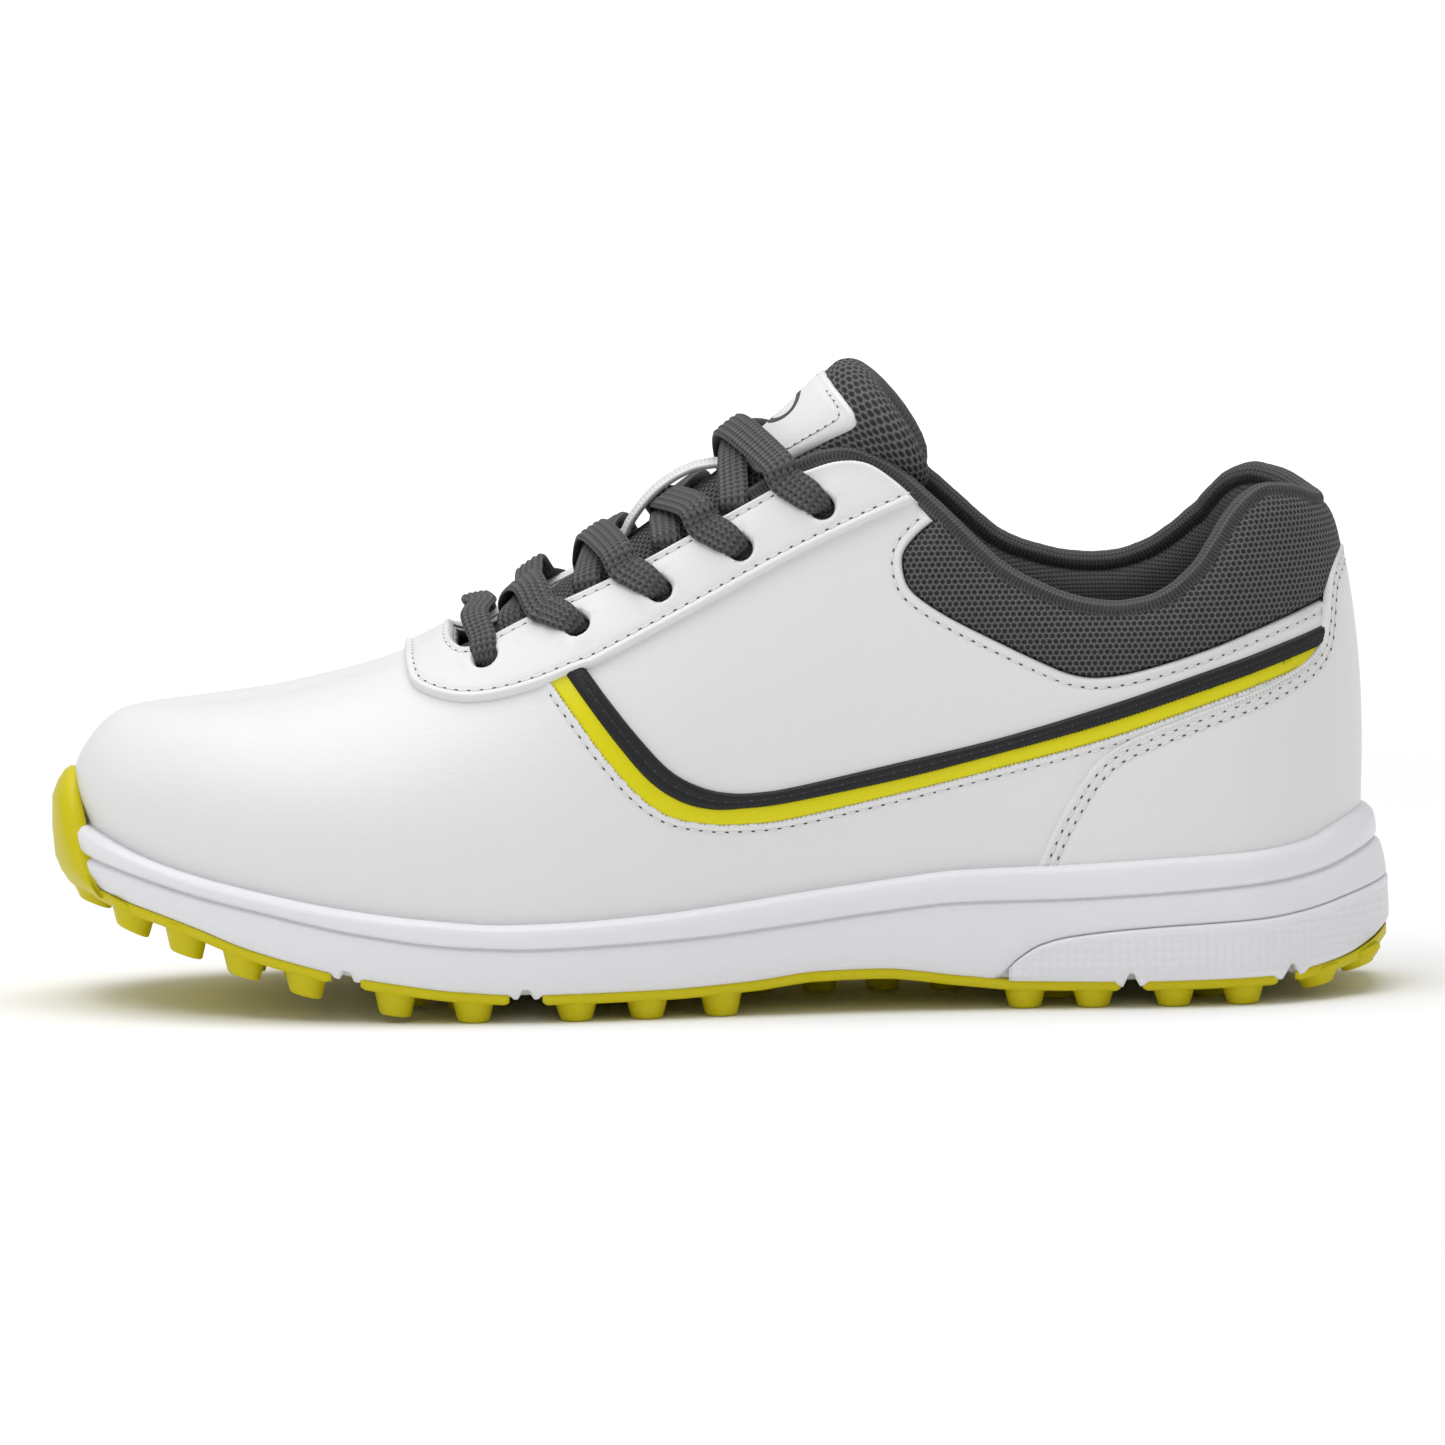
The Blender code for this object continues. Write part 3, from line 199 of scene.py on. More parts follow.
def unit(vectors):
    """Vectors made one long."""
    return vectors / np.maximum(np.linalg.norm(vectors, axis=-1, keepdims=True), 1e-12)


def plan(angle, side, offset=0.0):
    """Places of the sole plan, moved outwards by offset, as arrays of x and y."""
    angle, side, offset = np.broadcast_arrays(angle, side, offset)

    def raw(a):
        width = np.where(side < 0, lateral_width(a), medial_width(a))
        x = PLAN_CENTRE_X - PLAN_HALF_LENGTH * np.cos(a)
        return x, centre_shift(x) + side * width
    small = 0.01
    x0, y0 = raw(np.maximum(0.0, angle - small))
    x1, y1 = raw(np.minimum(math.pi, angle + small))
    out = unit(np.stack([-(y1 - y0) * side, (x1 - x0) * side], -1))
    front, back = angle < small, angle > math.pi - small
    out_x = np.where(front, -1.0, np.where(back, 1.0, out[..., 0]))
    out_y = np.where(front | back, 0.0, out[..., 1])
    x, y = raw(angle)
    return x + out_x * offset, y + out_y * offset


TOE_X = float(plan(0.0, 1, -FEATHER_INSET)[0])
HEEL_X = float(plan(math.pi, 1, -FEATHER_INSET)[0])


def surf(u, w):
    """The last surface. u runs from the toe (0) to the heel (1), w from -1 at the lateral edge
    of the sole over 0 at the centre line to 1 at the medial edge. Past either end of u it goes on
    round to the other side."""
    u, w = np.broadcast_arrays(np.asarray(u, float), np.asarray(w, float))
    w = np.where((u < 0) | (u > 1), -w, w)
    u = np.where(u < 0, -u, np.where(u > 1, 2 - u, u))
    side = np.where(w < 0, -1.0, 1.0)
    bx, by = plan(math.pi * u, side, -FEATHER_INSET)
    tx = TOE_RIDGE_X + (HEEL_RIDGE_X - TOE_RIDGE_X) * (bx - TOE_X) / (HEEL_X - TOE_X)
    ty = ridge_shift(tx)
    power = section_power(bx)
    phi = 0.5 * math.pi * (1.0 - np.abs(w) ** (1.0 / power))
    cosine = np.maximum(0.0, np.cos(phi))
    reach = cosine ** power
    bulge = section_bulge(bx) * np.sin(phi) * cosine ** 6
    out = unit(np.stack([bx - tx, by - ty], -1))
    low = feather(PLAN_CENTRE_X - PLAN_HALF_LENGTH * np.cos(math.pi * u))
    return np.stack([tx + (bx - tx) * reach + out[..., 0] * bulge,
                     ty + (by - ty) * reach + out[..., 1] * bulge,
                     low + (ridge(tx) - low) * np.sin(phi)], -1)


def on_last(line):
    """Points on the last surface, for places (u, w)."""
    return surf(line[:, 0], line[:, 1])


def slopes(line):
    """How the last surface's points move with u and with w."""
    step = 2e-4
    u, w = line[:, 0], line[:, 1]
    return ((surf(u + step, w) - surf(u - step, w)) / (2 * step),
            (surf(u, w + step) - surf(u, w - step)) / (2 * step))


def normals(line):
    """Outward directions of the last surface, for places (u, w)."""
    return unit(np.cross(*slopes(line)))


def lifted(line, height):
    """Points over the last surface at some height, for places (u, w)."""
    line = np.asarray(line, float).reshape(-1, 2)
    return on_last(line) + normals(line) * np.broadcast_to(height, len(line))[:, None]


def find(points, side):
    """Places (u, w) of points seen from the side as x and z."""
    x, z = np.array(points, float).T

    def at_height(u):
        bx = plan(math.pi * u, side, -FEATHER_INSET)[0]
        tx = TOE_RIDGE_X + (HEEL_RIDGE_X - TOE_RIDGE_X) * (bx - TOE_X) / (HEEL_X - TOE_X)
        low = feather(PLAN_CENTRE_X - PLAN_HALF_LENGTH * np.cos(math.pi * u))
        phi = np.arcsin(np.clip((z - low) / (ridge(tx) - low), -0.2, 1.0))
        return np.clip(1.0 - phi / (0.5 * math.pi), 0.0, 1.2) ** section_power(bx)
    low, high = np.zeros(len(x)), np.ones(len(x))
    for _ in range(24):
        u = 0.5 * (low + high)
        before = surf(u, side * at_height(u))[:, 0] < x
        low, high = np.where(before, u, low), np.where(before, high, u)
    u = 0.5 * (low + high)
    return np.stack([u, side * at_height(u)], -1)


def through(points, per_span=12):
    """Points of a smooth line through the given points, of any dimension."""
    p = np.array(points, float)
    p = np.vstack([2 * p[0] - p[1], p, 2 * p[-1] - p[-2]])
    s = np.arange(per_span)[:, None] / per_span
    line = [0.5 * (2 * p[i] + (p[i + 1] - p[i - 1]) * s
                   + (2 * p[i - 1] - 5 * p[i] + 4 * p[i + 1] - p[i + 2]) * s * s
                   + (3 * p[i] - p[i - 1] - 3 * p[i + 1] + p[i + 2]) * s ** 3)
            for i in range(1, len(p) - 2)]
    return np.vstack(line + [p[-2:-1]])


def measured(points):
    """Distance along a line of points at each of them."""
    return np.concatenate([[0.0], np.cumsum(np.linalg.norm(np.diff(points, axis=0), axis=1))])


def even(line, step):
    """A line of places, spaced evenly over the surface."""
    length = measured(on_last(line))
    count = max(2, int(round(length[-1] / step)))
    stops = np.linspace(0, length[-1], count + 1)
    return np.stack([np.interp(stops, length, line[:, 0]), np.interp(stops, length, line[:, 1])], -1)


def seen(points, side, step=1.0):
    """A smooth, evenly spaced line of places through points seen from the side."""
    return even(find(through(points), side), step)


def over_ridge(points, step=1.0):
    """Lateral side in the given order, then the medial side in reverse, across the centre line."""
    lateral, medial = seen(points, -1, step), seen(points, 1, step)
    lateral[-1, 1] = medial[-1, 1] = 0.0
    return even(np.vstack([lateral, medial[::-1][1:]]), step)


def fuller(points):
    """The medial collar, which stands a little higher than the lateral one before the heel."""
    p = np.array(points, float)
    return np.stack([p[:, 0], p[:, 1] + np.interp(p[:, 0], *np.array(MEDIAL_LIFT).T)], -1)


def round_heel(points, step=1.0, lift=False):
    """Lateral side in the given order, then the medial side in reverse, round the heel."""
    line = through(points)
    lateral, medial = find(line, -1), find(fuller(line) if lift else line, 1)
    medial = np.stack([2 - medial[:, 0], -medial[:, 1]], -1)
    lateral, medial = lateral[lateral[:, 0] < 0.9999], medial[medial[:, 0] > 1.0001]
    return even(np.vstack([lateral, medial[::-1]]), step)


def pushed(line, distance, closed=False):
    """A line moved to its left over the surface by a distance in millimetres."""
    before, after = np.roll(line, 1, 0), np.roll(line, -1, 0)
    if not closed:
        before[0], after[-1] = line[0], line[-1]
    su, sw = slopes(line)
    along = su * (after - before)[:, :1] + sw * (after - before)[:, 1:]
    aside = unit(np.cross(np.cross(su, sw), along)) * distance
    a, b, c = (su * su).sum(1), (su * sw).sum(1), (sw * sw).sum(1)
    p, q = (su * aside).sum(1), (sw * aside).sum(1)
    det = a * c - b * b
    return line + np.stack([(c * p - b * q) / det, (a * q - b * p) / det], -1)


# ---------------------------------------------------------------- meshes
def add_mesh(name, points, faces, finishes, uv=None, which=None, weld=0.0, body="shoe"):
    """A mesh object from points in millimetres, riding on a body. which gives each face's finish."""
    data = bpy.data.meshes.new(name)
    data.from_pydata((np.asarray(points) * MM).tolist(), [], [tuple(int(k) for k in f) for f in faces])
    if uv is not None:
        loops = np.zeros(len(data.loops), int)
        data.loops.foreach_get("vertex_index", loops)
        layer = data.uv_layers.new(name="UVMap")
        layer.data.foreach_set("uv", np.asarray(uv, np.float32)[loops].ravel())
    for finish in finishes:
        data.materials.append(finish)
    if which is not None:
        data.polygons.foreach_set("material_index", np.asarray(which, np.int32))
    shape = bmesh.new()
    shape.from_mesh(data)
    if weld:
        bmesh.ops.remove_doubles(shape, verts=shape.verts, dist=weld * MM)
        bmesh.ops.dissolve_degenerate(shape, edges=shape.edges, dist=weld * 0.5 * MM)
    for face in shape.faces:
        face.smooth = True
    shape.to_mesh(data)
    shape.free()
    made = bpy.data.objects.new(name, data)
    bpy.context.scene.collection.objects.link(made)
    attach(made, body)
    return made


def tree_of(points):
    tree = kdtree.KDTree(len(points))
    for k, p in enumerate(points):
        tree.insert(p, k)
    tree.balance()
    return tree


def distances(points, tree):
    return np.array([tree.find(p)[2] for p in points])


def inside(points, loop):
    """Which points lie inside a closed loop in the plane."""
    x, y = points[:, :1], points[:, 1:]
    x0, y0 = loop[:, 0], loop[:, 1]
    x1, y1 = np.roll(x0, -1), np.roll(y0, -1)
    crosses = (y0 > y) != (y1 > y)
    with np.errstate(divide="ignore", invalid="ignore"):
        left = x < (x1 - x0) * (y - y0) / (y1 - y0) + x0
    return (crosses & left).sum(1) % 2 == 1


ARC_U = np.linspace(0, 2, 801)
ARC_LENGTH = measured(surf(ARC_U, np.full(len(ARC_U), -0.8)))   # distance round the shoe, for UVs


def hole_loop(place):
    """An eyelet's outline round a place, as places (u, w)."""
    turn = np.linspace(0, 2 * math.pi, 21)[:-1, None]
    su, sw = (slope[0] for slope in slopes(np.array([place])))
    ahead = unit(su)
    aside = np.cross(unit(np.cross(su, sw)), ahead)
    ring = EYELET_RADIUS * (np.cos(turn) * ahead + np.sin(turn) * aside)
    return place + ring @ np.linalg.pinv(np.stack([su, sw], 1)).T


def patch(name, parts, outer, inner, finishes, rings=(0.3, 0.7, 1.2, 1.8, 2.6), spacing=2.3,
          creases=(), holes=(), body="shoe"):
    """A closed panel over the last surface. parts are the lines of its outline, end to end, each
    with what it is: an edge, a hidden edge, or a fold that is welded to its mirror. outer and
    inner give the heights of its two faces from the distance to the edge and the places."""
    loop = np.vstack([line[:-1] for line, kind in parts])
    kinds = np.concatenate([[kind] * (len(line) - 1) for line, kind in parts])
    area = np.sum(loop[:, 0] * np.roll(loop[:, 1], -1) - np.roll(loop[:, 0], -1) * loop[:, 1])
    if area < 0:
        loop, kinds = loop[::-1].copy(), kinds[::-1].copy()
    is_edge = kinds == "edge"
    hole_loops = [hole_loop(place) for place in holes]
    rim_points = np.vstack([on_last(rim) for rim in [loop[is_edge]] + hole_loops])
    edge_tree = tree_of(rim_points) if len(rim_points) else None
    all_tree = tree_of(np.vstack([on_last(line) for line in [loop] + hole_loops]))
    extra = []
    if is_edge.any():
        ring, gone = loop, 0.0
        for far in rings:
            ring = pushed(ring, far - gone, True)
            gone = far
            keep = ring[is_edge & inside(ring, loop)]
            extra.append(keep[distances(on_last(keep), all_tree) > far * 0.93])
    for hole in hole_loops:
        for far in (0.5, 1.1):
            middle = hole.mean(0)
            extra.append(middle + (hole - middle) * (1 + far / EYELET_RADIUS))
    crease_tree = None
    if creases:
        for line in creases:
            for far in (-1.1, -0.55, 0.0, 0.55, 1.1):
                moved = pushed(line, far)
                moved = moved[inside(moved, loop)]
                extra.append(moved[distances(on_last(moved), all_tree) > 0.25])
        crease_tree = tree_of(np.vstack([on_last(even(line, 0.5)) for line in creases]))
    low, high = loop.min(0), loop.max(0)
    du, dw = spacing / GRID_SCALE
    us, ws = np.arange(low[0] + du / 2, high[0], du), np.arange(low[1] + dw / 2, high[1], dw)
    grid = np.array([(u + (du / 2 if j % 2 else 0), w) for j, w in enumerate(ws) for u in us])
    grid = grid[inside(grid, loop)]
    grid_points = on_last(grid)
    clear = distances(grid_points, all_tree) > spacing * 0.45
    if edge_tree and is_edge.any():
        clear &= distances(grid_points, edge_tree) > rings[-1] + 0.4 * spacing
    if crease_tree:
        clear &= distances(grid_points, crease_tree) > 1.1 + 0.4 * spacing
    for hole in hole_loops:
        clear &= ~inside(grid, hole)
    grid = grid[clear]
    places = np.vstack([loop] + hole_loops + [e for e in extra if len(e)] + [grid])
    edges, start = [], len(loop)
    for hole in hole_loops:
        edges += [(start + k, start + (k + 1) % len(hole)) for k in range(len(hole))]
        start += len(hole)
    flat = [Vector(p) for p in places * GRID_SCALE]
    verts, _, faces, _, _, _ = geometry.delaunay_2d_cdt(flat, edges, [list(range(len(loop)))], 1, 1e-5)
    places = np.array([(v.x, v.y) for v in verts]) / GRID_SCALE
    faces = np.array([f for f in faces if len(f) == 3])
    middles = places[faces].mean(1)
    for hole in hole_loops:
        keep = ~inside(middles, hole)
        faces, middles = faces[keep], middles[keep]
    spin = np.cross(places[faces[:, 1]] - places[faces[:, 0]], places[faces[:, 2]] - places[faces[:, 0]])
    faces[spin < 0] = faces[spin < 0][:, ::-1]
    used = np.unique(faces)
    renumber = np.full(len(places), -1)
    renumber[used] = np.arange(len(used))
    places, faces = places[used], renumber[faces]
    base, up = on_last(places), normals(places)
    gap = distances(base, edge_tree) if edge_tree else np.full(len(base), 99.0)
    top, bottom = outer(gap, base), inner(gap, base)
    if crease_tree:
        top = top - 0.3 * np.exp(-(distances(base, crease_tree) / 0.5) ** 2)
    count = len(base)
    points = np.vstack([base + up * top[:, None], base + up * bottom[:, None]])
    sides = dict.fromkeys(side for a, b, c in faces for side in ((a, b), (b, c), (c, a)))
    folds = (0.0, 1.0) if (kinds == "fold").any() else ()
    walls = [(b, a, a + count, b + count) for a, b in sides if (b, a) not in sides
             and not any(max(abs(places[[a, b], 0] - fold)) < 1e-6 for fold in folds)]
    every = [tuple(f) for f in faces] + [tuple(f[::-1] + count) for f in faces] + walls
    which = [0] * len(faces) + [len(finishes) - 1] * (len(faces) + len(walls))
    uv = np.stack([np.interp(places[:, 0], ARC_U, ARC_LENGTH), base[:, 2]], -1)
    return add_mesh(name, points, every, finishes, np.vstack([uv, uv]), which, 0.004, body)


def grid_faces(rows, columns, closed=True):
    """Faces between rows of vertices. Closed rows join up with their own start."""
    faces = []
    for i in range(rows - 1):
        for k in range(columns if closed else columns - 1):
            m = (k + 1) % columns
            faces.append((i * columns + k, i * columns + m, (i + 1) * columns + m, (i + 1) * columns + k))
    return faces


def capped_faces(rows, columns):
    """Faces of a closed tube of rows with a flat face at each end."""
    ends = [tuple(range(columns)), tuple((rows - 1) * columns + k for k in range(columns))]
    return grid_faces(rows, columns) + ends


def facing_out(made):
    """Turns a closed mesh's faces outwards."""
    shape = bmesh.new()
    shape.from_mesh(made.data)
    bmesh.ops.recalc_face_normals(shape, faces=shape.faces)
    if shape.calc_volume(signed=True) < 0:
        bmesh.ops.reverse_faces(shape, faces=shape.faces)
    shape.to_mesh(made.data)
    shape.free()
    return made


def sweep(name, path, across, widths, heights, shape, finish, body="shoe"):
    """A solid along a path: shape gives the section's own x and y from -1 to 1, across the
    direction of its width."""
    path = np.asarray(path, float)
    along = unit(np.gradient(path, axis=0))
    across = unit(across - along * (across * along).sum(1)[:, None])
    up = np.cross(along, across)
    n, k = len(path), len(shape)
    w = np.broadcast_to(widths, n)[:, None, None]
    h = np.broadcast_to(heights, n)[:, None, None]
    points = (path[:, None] + across[:, None] * shape[None, :, :1] * w / 2
              + up[:, None] * shape[None, :, 1:] * h / 2).reshape(-1, 3)
    points = np.vstack([points, path[:1], path[-1:]])
    faces = grid_faces(n, k)
    faces += [(n * k, (j + 1) % k, j) for j in range(k)]
    faces += [(n * k + 1, (n - 1) * k + j, (n - 1) * k + (j + 1) % k) for j in range(k)]
    length = measured(path)
    mean_width = float(np.mean(widths))
    side = shape[:, 0] * mean_width / 2 + np.where(shape[:, 1] < 0, 40.0, 0.0)
    uv = np.stack(np.broadcast_arrays(length[:, None], side[None, :]), -1).reshape(-1, 2)
    uv = np.vstack([uv, [[0, 0], [length[-1], 0]]])
    return facing_out(add_mesh(name, points, faces, [finish], uv, body=body))


def round_section(count=14):
    turn = np.linspace(0, 2 * math.pi, count, endpoint=False)
    return np.stack([np.cos(turn), np.sin(turn)], -1)


def ribbon_section(ribs=5, count=46):
    """A flat woven section with rounded sides and lengthwise ribs."""
    x = np.cos(np.linspace(math.pi, 0, count))
    y = (1 - np.abs(x) ** 4) ** 0.5 * (0.84 + 0.16 * np.cos(x * math.pi * ribs))
    y[0] = y[-1] = 0
    return np.vstack([np.stack([x, y], -1), np.stack([x[-2:0:-1], -y[-2:0:-1]], -1)])


# ---------------------------------------------------------------- materials
def node(tree, kind, settings=None, **values):
    made = tree.nodes.new("ShaderNode" + kind)
    for key, value in (settings or {}).items():
        setattr(made, key, value)
    for key, value in values.items():
        socket = made.inputs[int(key[1:]) if key[1:].isdigit() else key.replace("_", " ")]
        if isinstance(value, bpy.types.NodeSocket):
            tree.links.new(value, socket)
        else:
            socket.default_value = value
    return made


def maths(tree, operation, *values):
    made = tree.nodes.new("ShaderNodeMath")
    made.operation = operation
    for k, value in enumerate(values):
        if isinstance(value, bpy.types.NodeSocket):
            tree.links.new(value, made.inputs[k])
        else:
            made.inputs[k].default_value = value
    return made.outputs[0]


def plus(tree, *values):
    return maths(tree, "ADD", *values)


def times(tree, *values):
    return maths(tree, "MULTIPLY", *values)


def vector(tree, operation, output=0, **values):
    return node(tree, "VectorMath", {"operation": operation}, **values).outputs[output]


def finish_of(name, colour, roughness, build=None, **constants):
    """A Principled material. build gets the tree and shader, and returns a height from 0 to 1
    and how deep it is in millimetres."""
    made = bpy.data.materials.new(name)
    made.use_nodes = True
    tree = made.node_tree
    shader = tree.nodes["Principled BSDF"]
    shader.inputs["Base Color"].default_value = (*colour, 1)
    shader.inputs["Roughness"].default_value = roughness
    for key, value in constants.items():
        shader.inputs[key.replace("_", " ")].default_value = value
    if build:
        height, depth = build(tree, shader)
        bump = node(tree, "Bump", None, Height=height, Distance=depth * MM, Strength=1.0)
        tree.links.new(bump.outputs["Normal"], shader.inputs["Normal"])
    made.diffuse_color = (*colour, 1)
    return made


def object_mm(tree):
    """The piece's own coordinates, in millimetres."""
    place = node(tree, "TexCoord").outputs["Object"]
    return vector(tree, "SCALE", i0=place, Scale=1000.0)


def uv_mm(tree):
    return node(tree, "UVMap", {"uv_map": "UVMap"}).outputs[0]


def noise(tree, place, scale, detail=3.0, roughness=0.5):
    return node(tree, "TexNoise", None, Vector=place, Scale=scale, Detail=detail,
                Roughness=roughness).outputs[0]


def span(tree, value, low, high, to_low=0.0, to_high=1.0):
    return node(tree, "MapRange", {"interpolation_type": "SMOOTHSTEP"}, i0=value, i1=low, i2=high,
                i3=to_low, i4=to_high).outputs[0]


def tint(tree, shader, share, dark, light):
    """Mixes two colours into the base colour by a share."""
    mix = node(tree, "Mix", {"data_type": "RGBA"}, i0=share, i6=(*dark, 1), i7=(*light, 1))
    tree.links.new(mix.outputs[2], shader.inputs["Base Color"])


def leather(tree, shader):
    """Fine grain with soft wrinkles that run up the shoe."""
    place = object_mm(tree)
    grain = node(tree, "TexVoronoi", {"feature": "SMOOTH_F1"}, Vector=place, Scale=1.5).outputs["Distance"]
    fine = noise(tree, place, 2.6, 4.0, 0.6)
    stretched = vector(tree, "MULTIPLY", i0=place, i1=(0.05, 0.05, 0.16))
    crease = noise(tree, stretched, 1.0, 5.0, 0.55)
    folds = span(tree, maths(tree, "ABSOLUTE", maths(tree, "SUBTRACT", crease, 0.5)), 0.0, 0.05)
    tree.links.new(span(tree, fine, 0.3, 0.7, 0.36, 0.5), shader.inputs["Roughness"])
    height = plus(tree, times(tree, grain, 0.35), times(tree, fine, 0.5))
    return plus(tree, height, times(tree, folds, 0.25)), 0.055


def pebble(tree, _):
    return noise(tree, object_mm(tree), 1.7, 2.0), 0.12


def satin(tree, _):
    return noise(tree, object_mm(tree), 0.9), 0.05


def hexes(tree, place, pitch):
    """Distance to the nearest centre of a hexagonal lattice, in cells."""
    q = vector(tree, "SCALE", i0=place, Scale=1.0 / pitch)
    far, near = (0.5, 0.866, 1.0), (-0.5, -0.866, -1.0)
    a = vector(tree, "WRAP", i0=q, i1=far, i2=near)
    moved = vector(tree, "ADD", i0=q, i1=(0.5, 0.866, 0.0))
    b = vector(tree, "WRAP", i0=moved, i1=far, i2=near)
    la = vector(tree, "LENGTH", "Value", i0=a)
    lb = vector(tree, "LENGTH", "Value", i0=b)
    return maths(tree, "MINIMUM", la, lb)


def honeycomb(pitch, dark, light):
    """Knitted mesh with hexagonal openings."""
    def build(tree, shader):
        place = uv_mm(tree)
        wobble = noise(tree, place, 1.3 / pitch, 2.0)
        cell = hexes(tree, place, pitch)
        strand = span(tree, plus(tree, cell, times(tree, wobble, 0.14)), 0.31, 0.58)
        fibre = noise(tree, place, 7.0 / pitch, 2.0, 0.7)
        lit = times(tree, strand, span(tree, fibre, 0.3, 0.7, 0.55, 1.0))
        tint(tree, shader, lit, dark, light)
        return plus(tree, times(tree, strand, 0.8), times(tree, fibre, 0.25)), 0.3
    return build


def knit(pitch, dark, light):
    """Fine rows of small V loops, coloured by their height: painted shade between the loops and painted
    highlight on their crowns.
    """
    def build(tree, shader):
        place = uv_mm(tree)
        parts = node(tree, "SeparateXYZ", None, Vector=place)
        x = times(tree, parts.outputs[0], 1.0 / pitch)
        y = times(tree, parts.outputs[1], 1.0 / pitch)
        column = maths(tree, "ABSOLUTE", maths(tree, "SUBTRACT", maths(tree, "FRACT", y), 0.5))
        wave = maths(tree, "SINE", times(tree, plus(tree, x, column), 2 * math.pi))
        loops = span(tree, wave, -0.8, 0.8)
        rib = span(tree, column, 0.5, 0.15)
        fibre = noise(tree, place, 5.0 / pitch, 2.0, 0.7)
        height = plus(tree, times(tree, loops, 0.5), times(tree, rib, 0.5))
        # Painted shade in the grooves and painted highlight on the raised loops, with a random fibre tone.
        lit = times(tree, height, span(tree, fibre, 0.3, 0.7, 0.6, 1.1))
        tint(tree, shader, lit, dark, light)
        return height, 0.16
    return build


def diamonds(tree, _):
    """A raised diamond pattern."""
    parts = node(tree, "SeparateXYZ", None, Vector=uv_mm(tree))
    x, y = parts.outputs[0], parts.outputs[1]
    turn = math.pi / 1.8
    a = maths(tree, "SINE", times(tree, plus(tree, x, y), turn))
    b = maths(tree, "SINE", times(tree, maths(tree, "SUBTRACT", x, y), turn))
    return times(tree, a, b), 0.13


CHARCOAL = (0.05, 0.05, 0.055)
INK = (0.012, 0.012, 0.014)
MESH_TONES = (0.005, 0.005, 0.006), (0.15, 0.15, 0.155)

WHITE = finish_of("white_leather", (0.765, 0.765, 0.765), 0.42, leather)
FOAM_SMOOTH = finish_of("midsole_smooth", (0.79, 0.79, 0.83), 0.38, satin)
FOAM_PEBBLE = finish_of("midsole_pebble", (0.78, 0.78, 0.82), 0.5, pebble)
FOAM_DIAMOND = finish_of("midsole_diamond", (0.78, 0.78, 0.82), 0.42, diamonds)
LIME = finish_of("lime_rubber", (0.60, 0.52, 0.002), 0.42, pebble, Specular_IOR_Level=0.25)
LIME_TRIM = finish_of("lime_trim", (0.72, 0.66, 0.002), 0.36, satin, Specular_IOR_Level=0.3)
BLACK = finish_of("black_trim", (0.012, 0.0125, 0.015), 0.45, satin, Specular_IOR_Level=0.3)
THREAD = finish_of("white_thread", (0.74, 0.74, 0.74), 0.6)
DARK_THREAD = finish_of("dark_thread", INK, 0.6)
# Painted shade: dark dots that stand for the shade inside the stitches' needle holes.
HOLE_SHADE = finish_of("needle_hole_shade", (0.07, 0.07, 0.07), 0.9)
MESH = finish_of("honeycomb_mesh", CHARCOAL, 0.75, honeycomb(1.3, *MESH_TONES))
TONGUE_MESH = finish_of("tongue_mesh", CHARCOAL, 0.75, honeycomb(1.4, *MESH_TONES))
# The knit finishes below, from lining to webbing: their two tones are painted shade between the loops and
# painted highlight on them.
KNIT = finish_of("lining_knit", (0.06, 0.06, 0.065), 0.85,
                 knit(0.8, (0.018, 0.018, 0.02), (0.115, 0.115, 0.122)))
SOCK = finish_of("sockliner_knit", CHARCOAL, 0.85,
                 knit(1.1, (0.02, 0.02, 0.022), (0.09, 0.09, 0.095)))
LACE = finish_of("lace_weave", CHARCOAL, 0.7,
                 knit(1.25, (0.006, 0.006, 0.007), (0.12, 0.12, 0.125)))
WEBBING = finish_of("white_webbing", (0.74, 0.74, 0.73), 0.7,
                    knit(0.9, (0.62, 0.62, 0.62), (0.85, 0.85, 0.84)))
BOARD = finish_of("pressed_board", (0.40, 0.37, 0.33), 0.85, pebble)
PLASTIC = finish_of("clear_coated", (0.03, 0.03, 0.033), 0.25, satin)
GREY_INK = finish_of("grey_ink", CHARCOAL, 0.5)


# ---------------------------------------------------------------- stitches
def dots(rings, sides, power=1.0):
    """Vertices and faces of an egg along its own x, of half sizes 1."""
    points, faces = [(-1.0, 0.0, 0.0)], []
    for i in range(1, rings):
        a = math.pi * i / rings
        for k in range(sides):
            b = 2 * math.pi * k / sides
            r = math.sin(a) ** power
            points.append((-math.cos(a), r * math.cos(b), r * math.sin(b)))
    points.append((1.0, 0.0, 0.0))
    last = len(points) - 1
    for k in range(sides):
        m = (k + 1) % sides
        faces.append((0, 1 + m, 1 + k))
        faces.append((last, last - sides + k, last - sides + m))
        for i in range(rings - 2):
            a, b = 1 + i * sides, 1 + (i + 1) * sides
            faces.append((a + k, a + m, b + m, b + k))
    return np.array(points), faces


def copies(centres, along, up, template, faces, half):
    """Copies of a template at centres, turned along and up, with half sizes half."""
    across = np.cross(up, along)
    points = (centres[:, None] + along[:, None] * template[None, :, :1] * half[0]
              + across[:, None] * template[None, :, 1:2] * half[1]
              + up[:, None] * template[None, :, 2:] * half[2])
    size = len(template)
    every = [tuple(k + i * size for k in face) for i in range(len(centres)) for face in faces]
    return points.reshape(-1, 3), every


def read(stops, length, line):
    """Values of a line at distances along it."""
    return np.stack([np.interp(stops, length, line[:, k]) for k in range(3)], -1)


def shifted(faces, points):
    """Faces renumbered to come after the lists of points that are already there."""
    start = sum(len(p) for p in points)
    return [tuple(k + start for k in face) for face in faces]


